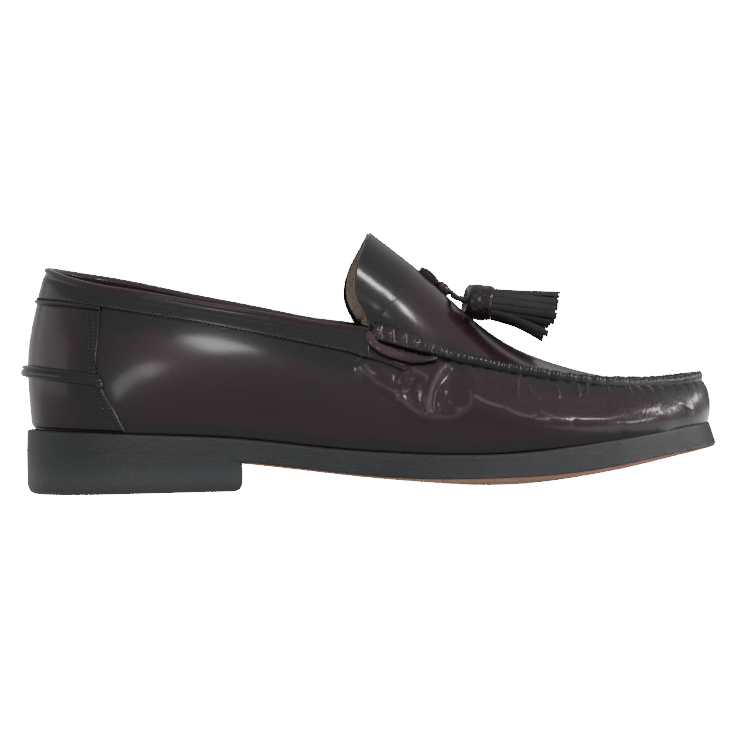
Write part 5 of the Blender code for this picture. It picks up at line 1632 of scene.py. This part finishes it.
def make_camera():
    """Camera at the photograph's angle: nearly level, a little from the heel's side, rolled toe up."""
    azimuth, elevation, roll = (math.radians(a) for a in (CAMERA_AZIMUTH, CAMERA_ELEVATION, CAMERA_ROLL))
    back = Vector((
        math.sin(azimuth) * math.cos(elevation), -math.cos(azimuth) * math.cos(elevation), math.sin(elevation)))
    right = Vector((math.cos(azimuth), math.sin(azimuth), 0.0))
    up = back.cross(right)
    rolled_right = right * math.cos(roll) - up * math.sin(roll)
    rolled_up = right * math.sin(roll) + up * math.cos(roll)
    aim = Vector(in_metres(CAMERA_AIM)) - rolled_right * CAMERA_SHIFT * MM
    data = bpy.data.cameras.new("camera")
    data.sensor_width = SENSOR
    data.lens = SENSOR * CAMERA_DISTANCE / VIEW_WIDTH
    data.clip_start = 0.1
    data.clip_end = 50.0
    camera = linked("camera", data)
    turn = Matrix((rolled_right, rolled_up, back)).transposed().to_4x4()
    camera.matrix_world = Matrix.Translation(aim + back * CAMERA_DISTANCE * MM) @ turn
    bpy.context.scene.camera = camera


def make_lights():
    """Soft lights round the shoe."""
    for name, start, aim, wide, high, watts, in_gloss in LIGHTS:
        data = bpy.data.lights.new(name, "AREA")
        data.shape = "RECTANGLE"
        data.size = wide * MM
        data.size_y = high * MM
        data.energy = watts
        light = linked(name, data)
        light.location = in_metres(start)
        light.rotation_mode = "QUATERNION"
        light.rotation_quaternion = (Vector(in_metres(aim)) - light.location).to_track_quat("-Z", "Y")
        light.visible_glossy = in_gloss
        light.visible_camera = False


def make_cards():
    """White cards round the shoe: the polish shows them, but they light nothing else."""
    for name, glow, corners in CARDS:
        mesh = bpy.data.meshes.new(name)
        mesh.from_pydata([in_metres(c) for c in corners], [], [range(len(corners))])
        mesh.materials.append(plain_white(name, glow))
        card = linked(name, mesh)
        card.visible_camera = False
        card.visible_diffuse = False
        card.visible_shadow = False


def plain_white(name, glow):
    """Matt card that glows white."""
    look = Shader(name)
    look.set(
        Base_Color=look.mix(look.noise(3.0), (0.30, 0.30, 0.30), (0.32, 0.32, 0.32)), Roughness=0.9,
        Emission_Color=(1.0, 1.0, 1.0, 1.0), Emission_Strength=glow,
    )
    return look.material


def make_floor():
    """Pale floor that curves up behind the shoe."""
    xs = (-9.0, -3.0, 0.0, 3.0, 9.0)
    section = ((-6.0, 0.0), (1.5, 0.0), (4.0, 0.0), (6.0, 0.2), (7.5, 0.9), (8.3, 2.0), (8.6, 4.0), (8.6, 9.0))
    columns = len(xs)
    faces = [
        (k, k + 1, k + 1 + columns, k + columns)
        for k in range(columns * (len(section) - 1)) if k % columns < columns - 1
    ]
    mesh = bpy.data.meshes.new("floor")
    mesh.from_pydata([(x, y, z) for y, z in section for x in xs], [], faces)
    mesh.materials.append(plain_white("pale_floor", FLOOR_GLOW))
    mesh.shade_smooth()
    floor = linked("floor", mesh)
    floor.visible_diffuse = False
    floor.visible_glossy = False


def make_world():
    """Even white light from all round."""
    world = bpy.data.worlds.new("studio")
    world.use_nodes = True
    sky = world.node_tree.nodes["Background"]
    sky.inputs["Color"].default_value = (1.0, 1.0, 1.0, 1.0)
    sky.inputs["Strength"].default_value = SKY_STRENGTH
    bpy.context.scene.world = world


class LOAFER_OT_stage(bpy.types.Operator):
    """Set up the camera, the soft lights and the pale floor"""

    bl_idname = "loafer.stage"
    bl_label = "Stage"

    def execute(self, context):
        make_camera()
        make_lights()
        make_cards()
        make_world()
        make_floor()
        return {"FINISHED"}


class LOAFER_OT_tassels(bpy.types.Operator):
    """Make the tassels, their thongs and the knot"""

    bl_idname = "loafer.tassels"
    bl_label = "Tassels"

    def execute(self, context):
        make_tassels()
        return {"FINISHED"}


class LOAFER_OT_upper(bpy.types.Operator):
    """Make the quarters and vamp, the apron with its tongue, and the lining"""

    bl_idname = "loafer.upper"
    bl_label = "Upper"

    def execute(self, context):
        make_wall()
        make_apron()
        make_tongue_edge()
        make_lining()
        return {"FINISHED"}


class LOAFER_OT_seam(bpy.types.Operator):
    """Make the gathered apron seam, its stitches and the rolled ears at its ends"""

    bl_idname = "loafer.seam"
    bl_label = "Apron seam"

    def execute(self, context):
        make_seam_ridge()
        make_seam_stitches()
        for side in SIDES:
            make_ear(side)
        return {"FINISHED"}


class LOAFER_OT_collar(bpy.types.Operator):
    """Make the collar binding, its ends and its zigzag stitching"""

    bl_idname = "loafer.collar"
    bl_label = "Collar"

    def execute(self, context):
        make_collar_band()
        for side in SIDES:
            make_band_tip(side)
        make_collar_stitches()
        return {"FINISHED"}


class LOAFER_OT_heel_trim(bpy.types.Operator):
    """Make the heel's patches, corded seam, piping and stitches"""

    bl_idname = "loafer.heel_trim"
    bl_label = "Heel trim"

    def execute(self, context):
        make_heel_stay()
        make_heel_foxing()
        make_heel_bead()
        make_heel_stitches()
        return {"FINISHED"}


class LOAFER_OT_sole(bpy.types.Operator):
    """Make the sole edge and heel, the tan tread and the sock inside"""

    bl_idname = "loafer.sole"
    bl_label = "Sole"

    def execute(self, context):
        make_sole()
        make_tread()
        make_insole()
        return {"FINISHED"}


class LOAFER_PT_panel(bpy.types.Panel):
    """Lists the shoe's colours, sizes and makers"""

    bl_idname = "LOAFER_PT_panel"
    bl_label = "Loafer"
    bl_space_type = "VIEW_3D"
    bl_region_type = "UI"
    bl_category = "Loafer"

    def draw(self, context):
        layout = self.layout
        for group in (context.scene.loafer_colours, context.scene.loafer_sizes):
            box = layout.box()
            for name in group.__annotations__:
                box.prop(group, name)
        for maker in MAKERS:
            layout.operator(maker.bl_idname)


MAKERS = (
    LOAFER_OT_stage, LOAFER_OT_tassels, LOAFER_OT_upper, LOAFER_OT_seam, LOAFER_OT_collar, LOAFER_OT_heel_trim,
    LOAFER_OT_sole,
)
CLASSES = (LoaferColours, LoaferSizes, *MAKERS, LOAFER_PT_panel)


def register():
    for each in CLASSES:
        bpy.utils.register_class(each)
    bpy.types.Scene.loafer_colours = bpy.props.PointerProperty(type=LoaferColours)
    bpy.types.Scene.loafer_sizes = bpy.props.PointerProperty(type=LoaferSizes)


def unregister():
    del bpy.types.Scene.loafer_sizes
    del bpy.types.Scene.loafer_colours
    for each in reversed(CLASSES):
        bpy.utils.unregister_class(each)


def main():
    """Makes the whole shoe."""
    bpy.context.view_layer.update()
    register()
    bpy.ops.loafer.stage()
    bpy.ops.loafer.tassels()
    bpy.ops.loafer.upper()
    bpy.ops.loafer.seam()
    bpy.ops.loafer.collar()
    bpy.ops.loafer.heel_trim()
    bpy.ops.loafer.sole()


if __name__ == "__main__":
    main()
